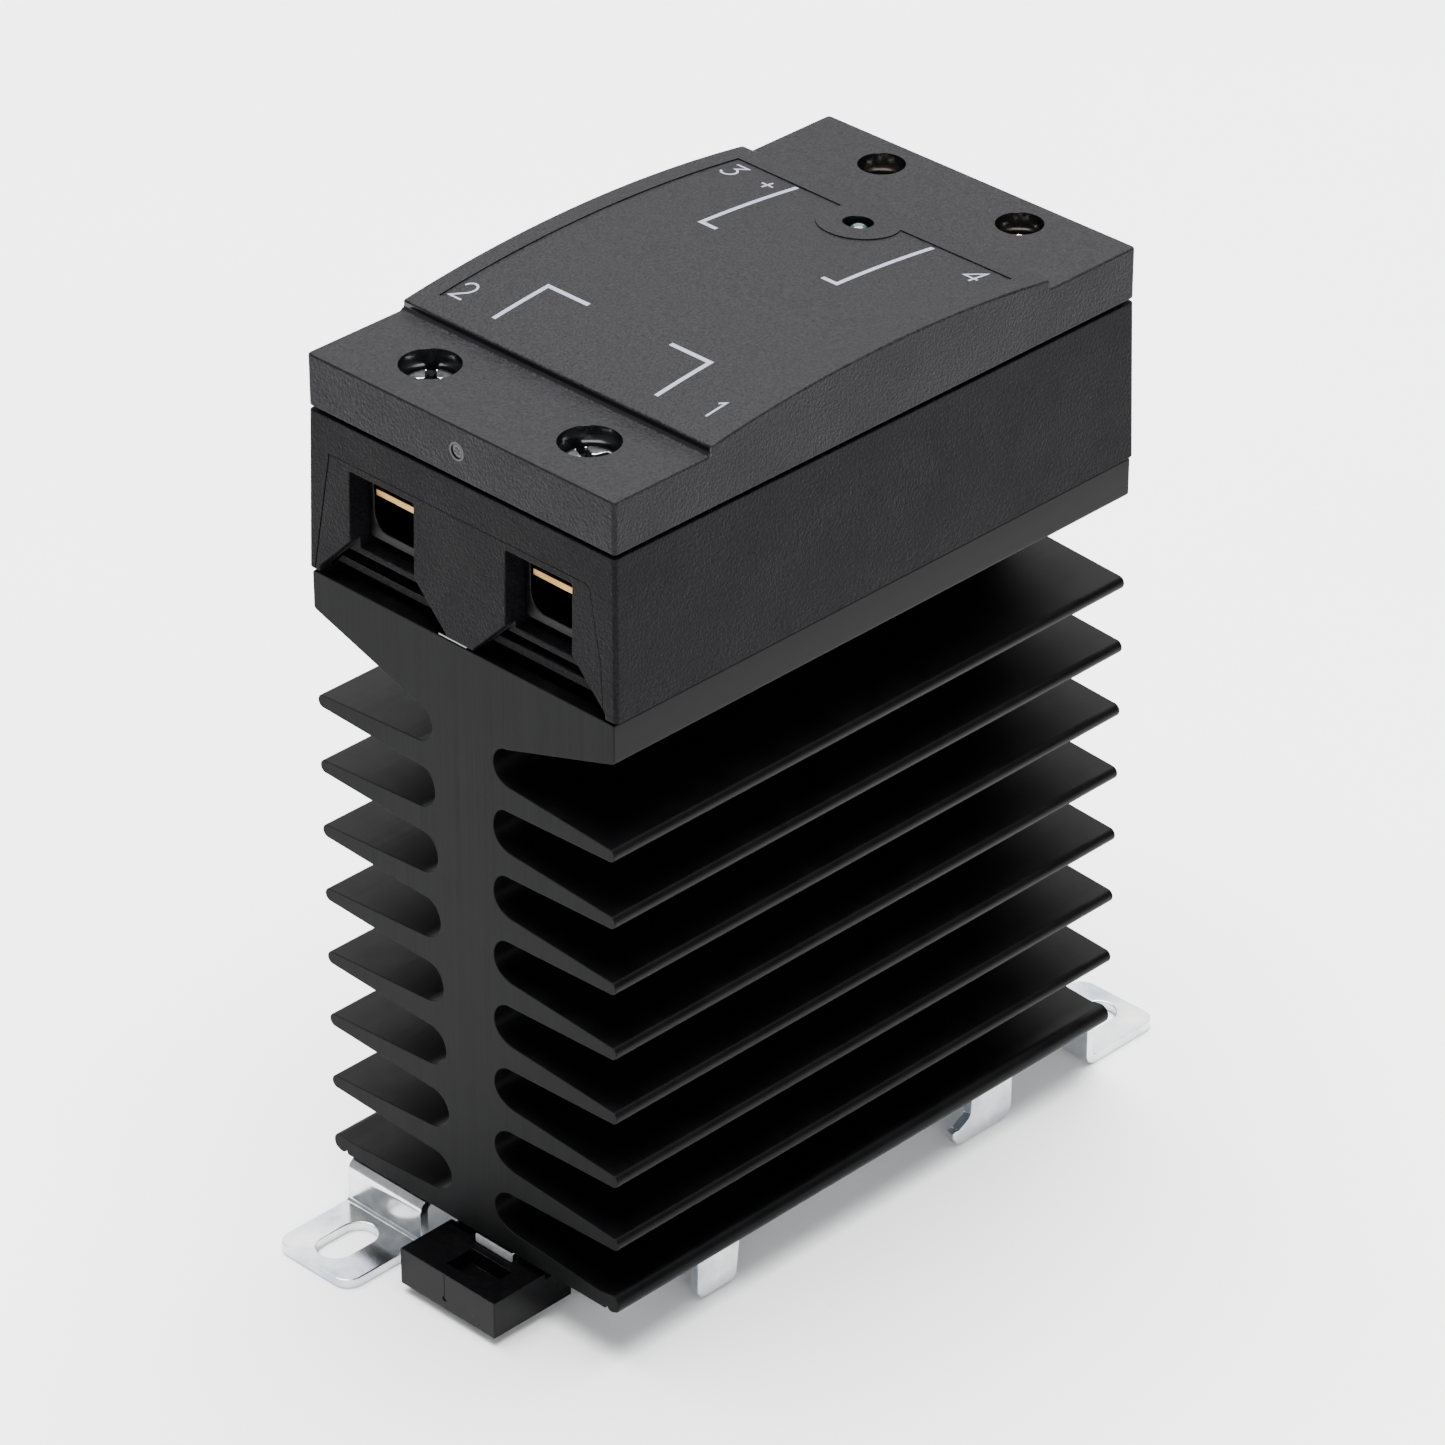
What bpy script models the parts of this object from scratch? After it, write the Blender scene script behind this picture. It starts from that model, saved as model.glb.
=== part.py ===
"""DIN rail solid state relay on a finned heat sink, with two output clamps at the front and two input clamps at the rear.

Frame: +Z up, the relay stands on its bracket feet at z = 0. The origin is under the middle of the module.
X runs across the 45 mm module width, Y along its length, -Y is the output (load) end.
All driving dimensions are in millimetres and are turned into metres by MM.
"""
import bpy
import bmesh
from math import sin, cos, pi, radians, atan2, hypot
from mathutils import Matrix

MM = 0.001
GAP = 0.3            # clearance kept between separate pieces

# ---- heights above the bracket feet -------------------------------------------------
Z_PLATE = (5.3, 6.5)         # bracket plate
Z_SINK = (6.8, 80.4)         # heat sink
Z_BODY = (80.7, 99.5)        # lower housing
Z_COVER = (99.9, 106.0)      # cover, flat lands at the top
DOME_STEP = 107.06           # height of the arched middle at its two ends
DOME_RISE = 1.84             # arch rise over the step
DOME_END = 25.2              # half length of the arched middle

# ---- plan sizes ---------------------------------------------------------------------
BODY_TOP = (22.5, 38.75)     # half width, half length
BODY_FOOT = (22.9, 39.15)
SINK_HALF_L = 39.06
HEAD_HALF_W = 22.45
FIN_HALF_W = 22.35
FIN_COUNT = 8
FIN_PITCH = 8.124
FIN1_TIP_Z = 64.61

# ---- terminals ----------------------------------------------------------------------
OUT_X, OUT_Y = 11.65, -31.5      # output screw axes at +-OUT_X
IN_X, IN_Y = 10.1, 34.05         # input screw axes at +-IN_X
OUT_BLADE_Z = (91.6, 92.4)       # output blade
IN_BAR_Z = (91.9, 92.7)          # input blade

# ---- bracket ------------------------------------------------------------------------
SHEET = 1.2
FLANGE_X = (19.0, 20.2)
FOOT_X = (-20.0, -8.2)
FOOT_END_Y = -50.4
RISER_Y = -38.8                  # centre plane of the riser sheet
SCREW_BR = (10.5, 22.0)          # bracket screws at (-x,-y) and (+x,+y)

# =====================================================================================
for ob in list(bpy.data.objects):
    bpy.data.objects.remove(ob, do_unlink=True)

ROOT = bpy.context.scene.collection


def material(name, rgb, rough, metal=0.0):
    m = bpy.data.materials.new(name)
    m.use_nodes = True
    b = m.node_tree.nodes["Principled BSDF"]
    b.inputs["Base Color"].default_value = (*rgb, 1.0)
    b.inputs["Roughness"].default_value = rough
    b.inputs["Metallic"].default_value = metal
    m.diffuse_color = (*rgb, 1.0)
    return m


BLACK_PLASTIC = material("black_plastic", (0.045, 0.044, 0.048), 0.62)
LATCH_PLASTIC = material("latch_plastic", (0.035, 0.035, 0.038), 0.5)
ANODISED = material("black_anodised", (0.03, 0.031, 0.034), 0.42, 0.6)
ZINC = material("zinc_steel", (0.78, 0.79, 0.82), 0.22, 1.0)
CAGE_STEEL = material("cage_steel", (0.5, 0.5, 0.52), 0.35, 1.0)
SCREW_STEEL = material("screw_steel", (0.7, 0.71, 0.74), 0.25, 1.0)
NICKEL = material("nickel_screw", (0.72, 0.62, 0.52), 0.28, 1.0)
BRASS = material("brass_bar", (0.83, 0.6, 0.28), 0.35, 1.0)
COPPER = material("copper", (0.72, 0.4, 0.27), 0.38, 1.0)
ALUMINIUM = material("aluminium_plate", (0.75, 0.76, 0.77), 0.4, 1.0)
CERAMIC = material("alumina", (0.86, 0.85, 0.82), 0.55)
SILICON = material("silicon", (0.14, 0.15, 0.18), 0.2, 0.4)
BOARD = material("board_green", (0.04, 0.17, 0.08), 0.5)
COMPONENT = material("component_black", (0.03, 0.03, 0.03), 0.45)
RESISTOR = material("resistor_beige", (0.62, 0.5, 0.34), 0.5)
CAP_FILM = material("capacitor_film", (0.45, 0.07, 0.05), 0.4)
MOV_BLUE = material("suppressor_blue", (0.05, 0.13, 0.35), 0.45)
LENS = material("lens_green", (0.22, 0.3, 0.24), 0.25)
SPRING = material("spring_steel", (0.55, 0.55, 0.56), 0.3, 1.0)


def emit(name, bm, mat, at=(0, 0, 0), smooth=True):
    """Turns a bmesh in millimetres, about its own origin, into an object placed at a point in millimetres."""
    bmesh.ops.recalc_face_normals(bm, faces=bm.faces[:])
    bmesh.ops.scale(bm, vec=(MM, MM, MM), verts=bm.verts[:])
    me = bpy.data.meshes.new(name)
    bm.to_mesh(me)
    bm.free()
    if smooth:
        me.shade_smooth()
        me.set_sharp_from_angle(angle=radians(32))
    if mat is not None:
        me.materials.append(mat)
    ob = bpy.data.objects.new(name, me)
    ob.location = [c * MM for c in at]
    ROOT.objects.link(ob)
    return ob


def place(p, axis, depth):
    """A point of a flat outline, put at a depth along the axis that the outline is square to."""
    a, b = p
    return {"X": (depth, a, b), "Y": (a, depth, b), "Z": (a, b, depth)}[axis]


def prism_bm(outline, axis, lo, hi):
    bm = bmesh.new()
    face = bm.faces.new([bm.verts.new(place(p, axis, lo)) for p in outline])
    grown = bmesh.ops.extrude_face_region(bm, geom=[face])
    verts = [g for g in grown["geom"] if isinstance(g, bmesh.types.BMVert)]
    bmesh.ops.translate(bm, verts=verts, vec=place((0, 0), axis, hi - lo))
    return bm


def prism(name, outline, axis, lo, hi, mat=None, at=(0, 0, 0)):
    return emit(name, prism_bm(outline, axis, lo, hi), mat, at)


def rect(x, y):
    return [(x[0], y[0]), (x[1], y[0]), (x[1], y[1]), (x[0], y[1])]


def box(name, x, y, z, mat=None, at=(0, 0, 0)):
    return prism(name, rect(x, y), "Z", z[0], z[1], mat, at)


def rod(name, centre, r, lo, hi, mat=None, axis="Z", segments=32, at=(0, 0, 0), r2=None):
    """A cylinder, or a cone when r2 is given, between two depths along an axis."""
    bm = bmesh.new()
    bmesh.ops.create_cone(bm, cap_ends=True, segments=segments, radius1=r, radius2=r if r2 is None else r2,
                          depth=hi - lo)
    bmesh.ops.translate(bm, verts=bm.verts[:], vec=(0, 0, (lo + hi) / 2))
    if axis == "X":
        bmesh.ops.rotate(bm, verts=bm.verts[:], matrix=Matrix.Rotation(pi / 2, 3, "Y"))
    if axis == "Y":
        bmesh.ops.rotate(bm, verts=bm.verts[:], matrix=Matrix.Rotation(-pi / 2, 3, "X"))
    bmesh.ops.translate(bm, verts=bm.verts[:], vec=place(centre, axis, 0))
    return emit(name, bm, mat, at)


def arc(cx, cy, r, a0, a1, n):
    """Points of an arc in degrees, both ends included."""
    return [(cx + r * cos(radians(a0 + (a1 - a0) * i / n)), cy + r * sin(radians(a0 + (a1 - a0) * i / n)))
            for i in range(n + 1)]


def ellipse(cx, cy, rx, ry, a0, a1, n):
    return [(cx + rx * cos(radians(a0 + (a1 - a0) * i / n)), cy + ry * sin(radians(a0 + (a1 - a0) * i / n)))
            for i in range(n + 1)]


def rounded_rect(hx, hy, r, n=3, cx=0.0, cy=0.0):
    pts = []
    for sx, sy, a in ((1, 1, 0), (-1, 1, 90), (-1, -1, 180), (1, -1, 270)):
        pts += arc(cx + sx * (hx - r), cy + sy * (hy - r), r, a, a + 90, n)
    return pts


def loft(name, low, high, z0, z1, mat=None):
    """A solid between two outlines with the same number of points."""
    bm = bmesh.new()
    a = [bm.verts.new((*p, z0)) for p in low]
    b = [bm.verts.new((*p, z1)) for p in high]
    bm.faces.new(a)
    bm.faces.new(b)
    ea = [bm.edges.get((a[i], a[(i + 1) % len(a)])) for i in range(len(a))]
    eb = [bm.edges.get((b[i], b[(i + 1) % len(b)])) for i in range(len(b))]
    bmesh.ops.bridge_loops(bm, edges=ea + eb)
    return emit(name, bm, mat)


tool_number = 0


def boolean(target, tool, operation):
    global tool_number
    tool_number += 1
    tool.name = f"tool_{tool_number:03d}"
    tool.hide_render = True
    tool.display_type = "WIRE"
    m = target.modifiers.new(operation.lower(), "BOOLEAN")
    m.operation = operation
    m.object = tool
    return target


def cut(target, tool):
    return boolean(target, tool, "DIFFERENCE")


def join(target, tool):
    return boolean(target, tool, "UNION")


def keep(target, tool):
    return boolean(target, tool, "INTERSECT")


def mirrored(x):
    """The same span on the -X side."""
    return (-x[1], -x[0])


# =====================================================================================
# Heat sink: an extrusion along Y, a head that the relay sits on, a tapering spine and
# eight fins each side, the last of which is the thick base fin
# =====================================================================================
def spine_half(z):
    return 3.35 + 1.25 * (z - 9.0) / (68.0 - 9.0)


def sink_side():
    """The +X half of the section, from the top of the head down to the foot."""
    side = [(HEAD_HALF_W - 0.3, Z_SINK[1]), (HEAD_HALF_W, Z_SINK[1] - 0.3), (HEAD_HALF_W, 76.1),
            (HEAD_HALF_W - 0.12, 75.82), (HEAD_HALF_W - 0.5, 75.62)]
    upper_root = (6.6, 70.75)
    for i in range(FIN_COUNT):
        tip_z = FIN1_TIP_Z - i * FIN_PITCH
        base = i == FIN_COUNT - 1
        root_top = tip_z + (1.72 if not base else 1.75)
        root_x = 7.0
        hs = spine_half((upper_root[1] + root_top) / 2)
        mid = (upper_root[1] + root_top) / 2
        side += ellipse(upper_root[0], mid, upper_root[0] - hs, upper_root[1] - mid, 90, 180, 5)
        side += ellipse(root_x, mid, root_x - hs, mid - root_top, 180, 270, 5)[1:]
        if not base:
            side += arc(FIN_HALF_W - 0.8, tip_z, 0.8, 80, -80, 4)
            upper_root = (6.2, tip_z - 1.42)
        else:
            side += [(19.4, 8.72)] + arc(21.2, 7.9, 1.15, 95, -45, 6)
            side += [(21.35, Z_SINK[0]), (20.9, Z_SINK[0]), (20.45, Z_SINK[0] + 0.65), (20.2, Z_SINK[0])]
    return side


half = sink_side()
outline = half + [(-x, z) for x, z in reversed(half)]
heatsink = prism("heatsink", outline, "Y", -SINK_HALF_L, SINK_HALF_L, ANODISED)
for s in (-1, 1):
    cut(heatsink, rod("t", (s * SCREW_BR[0], s * SCREW_BR[1]), 2.0, 5.0, 8.9, segments=24))
HOUSE_SCREWS = (("housing_screw_front", -31.5), ("housing_screw_rear", 33.4))
for _, y in HOUSE_SCREWS:
    cut(heatsink, rod("t", (0, y), 1.8, 71.0, 82.0, segments=24))

# =====================================================================================
# Lower housing: a frame open at the top and the bottom, with a terminal block at each end
# =====================================================================================
housing = loft("relay_housing", rounded_rect(*BODY_FOOT, 0.7), rounded_rect(*BODY_TOP, 0.6), *Z_BODY,
               BLACK_PLASTIC)
CAVITY_X, CAVITY_Y = (-20.9, 20.9), (-26.3, 27.5)
cut(housing, box("t", CAVITY_X, CAVITY_Y, (79.0, 101.0)))
OUT_WELL_X = (6.8, 16.4)
IN_WELL_X = (5.9, 14.3)
TREAD_Y = -37.6                  # front of the bars across the foot of the mouth, set back from the face
for s in (-1, 1):
    def side_x(span):
        return span if s > 0 else mirrored(span)

    # clamp well, then its mouth, which flares at 45 degrees to the foot of the block
    cut(housing, box("t", side_x(OUT_WELL_X), (-37.3, -27.3), (84.9, 101.0)))
    cut(housing, box("t", side_x(OUT_WELL_X), (-38.0, -37.0), (84.9, 94.4)))
    mouth = [(6.8, 94.4), (16.4, 94.4), (16.4, 86.2), (21.2, 81.4), (21.2, 79.0), (2.0, 79.0), (2.0, 80.9), (6.8, 85.7)]
    cut(housing, prism("t", [(s * x, z) for x, z in mouth], "Y", -41.0, TREAD_Y))
    # two open slots between the bars across its foot
    upper = [(5.35, 84.05), (18.35, 84.05), (19.4, 83.0), (4.3, 83.0)]
    lower = [(3.15, 81.85), (20.55, 81.85), (21.0, 81.4), (21.0, 80.7), (2.2, 80.7), (2.2, 80.9)]
    for slot in (upper, lower):
        cut(housing, prism("t", [(s * x, z) for x, z in slot], "Y", -39.5, -35.2))
    # slot for the output blade through the wall to the middle
    cut(housing, box("t", side_x((8.4, 14.9)), (-27.9, -25.6), (91.3, 92.7)))
    # input wells, mouths and blade slots
    cut(housing, box("t", side_x(IN_WELL_X), (28.5, 37.3), (86.0, 101.0)))
    cut(housing, box("t", side_x((6.5, 13.7)), (37.0, 41.0), (86.5, 93.5)))
    cut(housing, box("t", side_x((7.2, 13.0)), (26.8, 29.2), (91.6, 93.0)))
    # posts that carry the board
    for y in ((-26.8, -23.6), (24.2, 28.0)):
        join(housing, box("t", side_x((18.8, 21.4)), y, (83.6, 94.7)))
for _, y in HOUSE_SCREWS:
    cut(housing, rod("t", (0, y), 1.8, 79.0, 86.0, segments=24))
    cut(housing, rod("t", (0, y), 3.2, 84.8, 101.0, segments=24))

# =====================================================================================
# Cover: flat lands over the terminals, an arched middle, four screw wells, a lamp window
# =====================================================================================
ARCH_R = (DOME_END ** 2 + DOME_RISE ** 2) / (2 * DOME_RISE)
arch_half = atan2(DOME_END, ARCH_R - DOME_RISE)
arch_cz = DOME_STEP + DOME_RISE - ARCH_R
arch = [(ARCH_R * sin(arch_half * (i / 8 - 1)), arch_cz + ARCH_R * cos(arch_half * (i / 8 - 1))) for i in range(17)]
LY = BODY_TOP[1]
section = [(-LY, Z_COVER[0]), (-LY, Z_COVER[1] - 0.25), (-LY + 0.25, Z_COVER[1]), (-DOME_END, Z_COVER[1])] + arch + \
          [(DOME_END, Z_COVER[1]),
           (LY - 0.25, Z_COVER[1]), (LY, Z_COVER[1] - 0.25), (LY, Z_COVER[0])]
cover = prism("top_cover", section, "X", -BODY_TOP[0], BODY_TOP[0], BLACK_PLASTIC)
keep(cover, prism("t", rounded_rect(*BODY_TOP, 0.6), "Z", 99.0, 110.0))
cut(cover, box("t", (-20.7, 20.7), (-23.4, 23.4), (98.0, 105.0)))
for y in ((-37.0, -26.4), (27.0, 37.0)):
    cut(cover, box("t", (-4.2, 4.2), y, (98.0, 104.0)))
for s in (-1, 1):
    cut(cover, rod("t", (s * OUT_X, OUT_Y), 3.3, 101.3, 108.0))
    cut(cover, rod("t", (s * OUT_X, OUT_Y), 2.3, 98.0, 102.0, segments=24))
    cut(cover, rod("t", (s * IN_X, IN_Y), 2.6, 101.6, 108.0))
    cut(cover, rod("t", (s * IN_X, IN_Y), 1.8, 98.0, 102.0, segments=24))
LAMP = (0.0, 19.8)
cut(cover, rod("t", LAMP, 1.65, 104.0, 110.0, segments=28))

# =====================================================================================
# Power section on the base: heat spreader, ceramic, two thyristor chips, straps, blades
# =====================================================================================
box("heat_spreader", (-18.4, 18.4), (-25.9, 27.1), (80.7, 82.7), ALUMINIUM)
box("ceramic_substrate", (-17.0, 17.0), (-24.0, 14.0), (83.0, 83.8), CERAMIC)
for side, s in (("left", -1), ("right", 1)):
    def sx(span):
        return span if s > 0 else mirrored(span)

    box(f"thyristor_{side}", sx((3.5, 12.5)), (-8.5, 0.5), (84.1, 84.6), SILICON)
    prism(f"chip_strap_{side}",
          [(-18.0, 85.2), (-11.5, 85.2), (-9.5, 84.9), (0.0, 84.9), (0.0, 85.5), (-9.3, 85.5), (-11.3, 85.8),
           (-18.0, 85.8)], "X", *sx((9.0, 12.0)), COPPER)
    rod(f"gate_pin_{side}", (s * 5.4, -1.5), 0.4, 84.9, 94.7, COPPER, segments=12)
    blade = [(-36.9, OUT_BLADE_Z[0]), (-36.9, OUT_BLADE_Z[1]), (-22.5, OUT_BLADE_Z[1]), (-22.1, OUT_BLADE_Z[1] - 0.4),
             (-22.1, 84.9), (-12.2, 84.9), (-12.2, 84.1), (-22.9, 84.1), (-22.9, OUT_BLADE_Z[0])]
    prism(f"output_blade_{side}", blade, "X", *sx((OUT_X - 2.9, OUT_X + 2.9)), BRASS)
    inner = [(37.0, IN_BAR_Z[0]), (37.0, IN_BAR_Z[1]), (25.0, IN_BAR_Z[1]), (25.0, 94.7), (24.2, 94.7),
             (24.2, IN_BAR_Z[0])]
    prism(f"input_blade_{side}", inner, "X", *sx((IN_X - 2.5, IN_X + 2.5)), BRASS)

# =====================================================================================
# Control board and what stands on it
# =====================================================================================
box("circuit_board", (-20.5, 20.5), (-25.9, 27.1), (95.0, 96.6), BOARD)
box("optocoupler", (-4.4, 4.4), (4.0, 10.4), (96.9, 100.4), COMPONENT)
prism("current_regulator", [(10.5 + x, 13.0 + y) for x, y in arc(0, 0, 2.4, -40, 220, 10)], "Z", 97.4, 102.0,
      COMPONENT)
prism("input_resistor", arc(12.5, 98.3, 1.15, 0, 337.5, 15), "X", -14.0, -7.6, RESISTOR)
prism("gate_resistor", arc(-3.5, 98.3, 1.15, 0, 337.5, 15), "X", -14.0, -7.6, RESISTOR)
prism("snubber_resistor", arc(-5.0, 98.7, 1.6, 0, 337.5, 15), "X", 5.0, 14.0, RESISTOR)
box("snubber_capacitor", (-15.5, -3.5), (-19.5, -12.5), (96.9, 104.3), CAP_FILM)
prism("surge_suppressor", arc(9.5, 100.8, 3.7, 0, 345, 23), "Y", -17.4, -13.8, MOV_BLUE)
box("status_led", (-0.8, 0.8), (LAMP[1] - 0.9, LAMP[1] + 0.9), (96.9, 98.2), LENS)
dome_pts = [(0.0, 98.5), (1.0, 98.5), (1.0, 106.9), (0.85, 107.25), (0.5, 107.45), (0.0, 107.5)]
bm = bmesh.new()
vs = [bm.verts.new((x, 0, z)) for x, z in dome_pts]
es = [bm.edges.new((vs[i], vs[i + 1])) for i in range(len(vs) - 1)]
bmesh.ops.spin(bm, geom=vs + es, cent=(0, 0, 0), axis=(0, 0, 1), angle=2 * pi, steps=20, use_merge=True,
               use_normal_flip=False)
bmesh.ops.remove_doubles(bm, verts=bm.verts[:], dist=0.0005)
emit("light_pipe", bm, LENS, at=(LAMP[0], LAMP[1], 0))


# =====================================================================================
# Screws
# =====================================================================================
def screw(name, at, head_r, head_h, shank_r, length, mat, cross=True, slot=True, lead=0.5):
    """A pan head screw along Z, its head's underside at its origin, its shank below, a cross and a slot in its head."""
    profile = [(0.0, -length), (shank_r - lead, -length), (shank_r, -length + lead), (shank_r, 0.0), (head_r, 0.0),
               (head_r, head_h * 0.62), (head_r * 0.9, head_h * 0.86), (head_r * 0.66, head_h), (0.0, head_h)]
    bm = bmesh.new()
    vs = [bm.verts.new((x, 0, z)) for x, z in profile]
    es = [bm.edges.new((vs[i], vs[i + 1])) for i in range(len(vs) - 1)]
    bmesh.ops.spin(bm, geom=vs + es, cent=(0, 0, 0), axis=(0, 0, 1), angle=2 * pi, steps=28, use_merge=True)
    bmesh.ops.remove_doubles(bm, verts=bm.verts[:], dist=0.0005)
    ob = emit(name, bm, mat, at=at)
    w = head_r * 0.17
    if cross:
        for a, b in ((head_r * 0.62, w), (w, head_r * 0.62)):
            cut(ob, box("t", (-a, a), (-b, b), (head_h * 0.35, head_h + 1), at=at))
    if slot:
        cut(ob, box("t", (-head_r * 1.2, head_r * 1.2), (-w * 0.8, w * 0.8), (head_h * 0.62, head_h + 1), at=at))
    return ob


for side, s in (("left", -1), ("right", 1)):
    screw(f"output_screw_{side}", (s * OUT_X, OUT_Y, 101.6), 3.1, 2.4, 2.0, 8.8, SCREW_STEEL)
    screw(f"input_screw_{side}", (s * IN_X, IN_Y, 101.9), 2.2, 1.9, 1.5, 8.8, NICKEL)
for name, y in HOUSE_SCREWS:
    screw(name, (0, y, 85.1), 2.8, 2.0, 1.5, 12.8, SCREW_STEEL, slot=False)


# =====================================================================================
# Clamp cages: a square tube of strip with its screw through the top and the blade through it
# =====================================================================================
def cage(name, at, half_w, wall, y, floor, roof, r_screw, mat):
    """y, floor and roof are about the screw axis; floor and roof are (outer, inner) heights."""
    ob = box(name, (-half_w, half_w), y, (floor[0], roof[0]), mat, at=at)
    inner = half_w - wall
    r = 1.9
    hole = arc(-inner + r, floor[1] + r, r, 180, 270, 4) + arc(inner - r, floor[1] + r, r, 270, 360, 4) + \
        [(inner, roof[1]), (-inner, roof[1])]
    cut(ob, prism("t", hole, "Y", y[0] - 2, y[1] + 2, at=at))
    cut(ob, rod("t", (0, 0), r_screw, roof[1] - 1, roof[0] + 1, segments=24, at=at))
    return ob


OUT_CAGE_TRAVEL = 3.3
IN_CAGE_TRAVEL = 2.6
for side, s in (("left", -1), ("right", 1)):
    cage(f"output_cage_{side}", (s * OUT_X, OUT_Y, 86.05), 4.45, 0.75, (-5.0, 3.7), (0.0, 1.1), (9.6, 8.2), 2.3,
         CAGE_STEEL)
    cage(f"input_cage_{side}", (s * IN_X, IN_Y, 87.4), 3.8, 0.9, (-4.2, 2.7), (0.0, 1.0), (7.7, 6.5), 1.8,
         CAGE_STEEL)


# =====================================================================================
# DIN bracket: one zinc plated sheet with two stepped feet, two front tabs, two rear hooks,
# a front tongue, a spring tab and two guides for the latch
# =====================================================================================
def sheet_path(points, radii, t, n=4):
    """The outline of a bent sheet of thickness t about a centre line with rounded bends."""
    left, right = [], []

    def add(p, d):
        nx, ny = -d[1], d[0]
        left.append((p[0] + nx * t / 2, p[1] + ny * t / 2))
        right.append((p[0] - nx * t / 2, p[1] - ny * t / 2))

    def unit(a, b):
        length = hypot(b[0] - a[0], b[1] - a[1])
        return (b[0] - a[0]) / length, (b[1] - a[1]) / length

    for i, p in enumerate(points):
        if i == 0:
            add(p, unit(p, points[1]))
            continue
        if i == len(points) - 1:
            add(p, unit(points[i - 1], p))
            continue
        d0, d1 = unit(points[i - 1], p), unit(p, points[i + 1])
        turn = atan2(d0[0] * d1[1] - d0[1] * d1[0], d0[0] * d1[0] + d0[1] * d1[1])
        r = radii[i]
        back = r * abs(sin(turn / 2) / cos(turn / 2))
        start = (p[0] - d0[0] * back, p[1] - d0[1] * back)
        sgn = 1 if turn > 0 else -1
        c = (start[0] - d0[1] * r * sgn, start[1] + d0[0] * r * sgn)
        a0 = atan2(start[1] - c[1], start[0] - c[0])
        for k in range(n + 1):
            a = a0 + turn * k / n
            q = (c[0] + r * cos(a), c[1] + r * sin(a))
            add(q, (-sin(a) * sgn, cos(a) * sgn))
    return left + right[::-1]


PLATE_Z = sum(Z_PLATE) / 2
plate = box("din_bracket", (-20.2, 20.2), (-36.6, 36.6), Z_PLATE, ZINC)
foot_line = [(-34.0, PLATE_Z), (RISER_Y, PLATE_Z), (RISER_Y, SHEET / 2), (FOOT_END_Y, SHEET / 2)]
foot_outline = sheet_path(foot_line, [0, 1.1, 1.1, 0], SHEET)
front_tab = [(-25.0, 6.0), (-25.0, 1.3), (-24.3, 0.4), (-19.6, 0.4), (-19.0, 1.0), (-18.4, 6.0)]
rear_hook = [(25.3, 6.0), (25.3, 1.6), (25.0, 0.8), (24.2, 0.2), (23.4, 0.0), (17.3, 0.0), (16.2, 0.5),
             (15.6, 1.4), (15.65, 2.1), (16.1, 2.25), (16.6, 2.15), (18.2, 3.0), (18.5, 3.5), (18.6, 6.0)]
for s in (-1, 1):
    flip = [(s * y, z) for y, z in foot_outline]
    join(plate, prism("t", flip, "X", *((FOOT_X[0], FOOT_X[1]) if s > 0 else mirrored(FOOT_X))))
    span = FLANGE_X if s > 0 else mirrored(FLANGE_X)
    join(plate, prism("t", front_tab, "X", *span))
    join(plate, prism("t", rear_hook, "X", *span))
# tongue over the latch, spring tab and the two L guides
join(plate, box("t", (0.1, 5.8), (-39.05, -36.0), Z_PLATE))
join(plate, box("t", (1.4, 4.3), (-36.2, -35.2), (2.6, 6.0)))
LATCH_X = (-4.5, 10.2)
for s, edge in ((-1, LATCH_X[0]), (1, LATCH_X[1])):
    leg = sorted((edge + s * 0.3, edge + s * 1.5))
    lip = sorted((edge - s * 1.4, edge + s * 1.5))
    join(plate, box("t", leg, (-34.0, -25.0), (2.0, 6.0)))
    join(plate, box("t", lip, (-34.0, -25.0), (2.0, 3.2)))
# round the foot corners, and open the slots and the screw holes
SLOT_C, SLOT_R, SLOT_H = (-14.3, -44.8), 2.2, 1.65
for s in (-1, 1):
    cx, cy = s * SLOT_C[0], s * SLOT_C[1]
    slot = arc(cx, cy + SLOT_H, SLOT_R, 0, 180, 8) + arc(cx, cy - SLOT_H, SLOT_R, 180, 360, 8)
    cut(plate, prism("t", slot, "Z", -1.0, 3.0))
    for x in FOOT_X:
        d = 1 if x == FOOT_X[0] else -1
        r = 2.0
        ccx, ccy = x + d * r, FOOT_END_Y + r
        corner = [(x - d * 1.0, FOOT_END_Y - 1.0), (x - d * 1.0, ccy)] + \
                 [(ccx - d * r * cos(radians(a)), ccy - r * sin(radians(a))) for a in (0, 22.5, 45, 67.5, 90)] + \
                 [(ccx, FOOT_END_Y - 1.0)]
        corner = [(s * px, s * py) for px, py in corner]
        cut(plate, prism("t", corner, "Z", -1.0, 3.0))
    cut(plate, rod("t", (-s * SCREW_BR[0], -s * SCREW_BR[1]), 2.3, 4.0, 8.0, segments=24))


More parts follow.
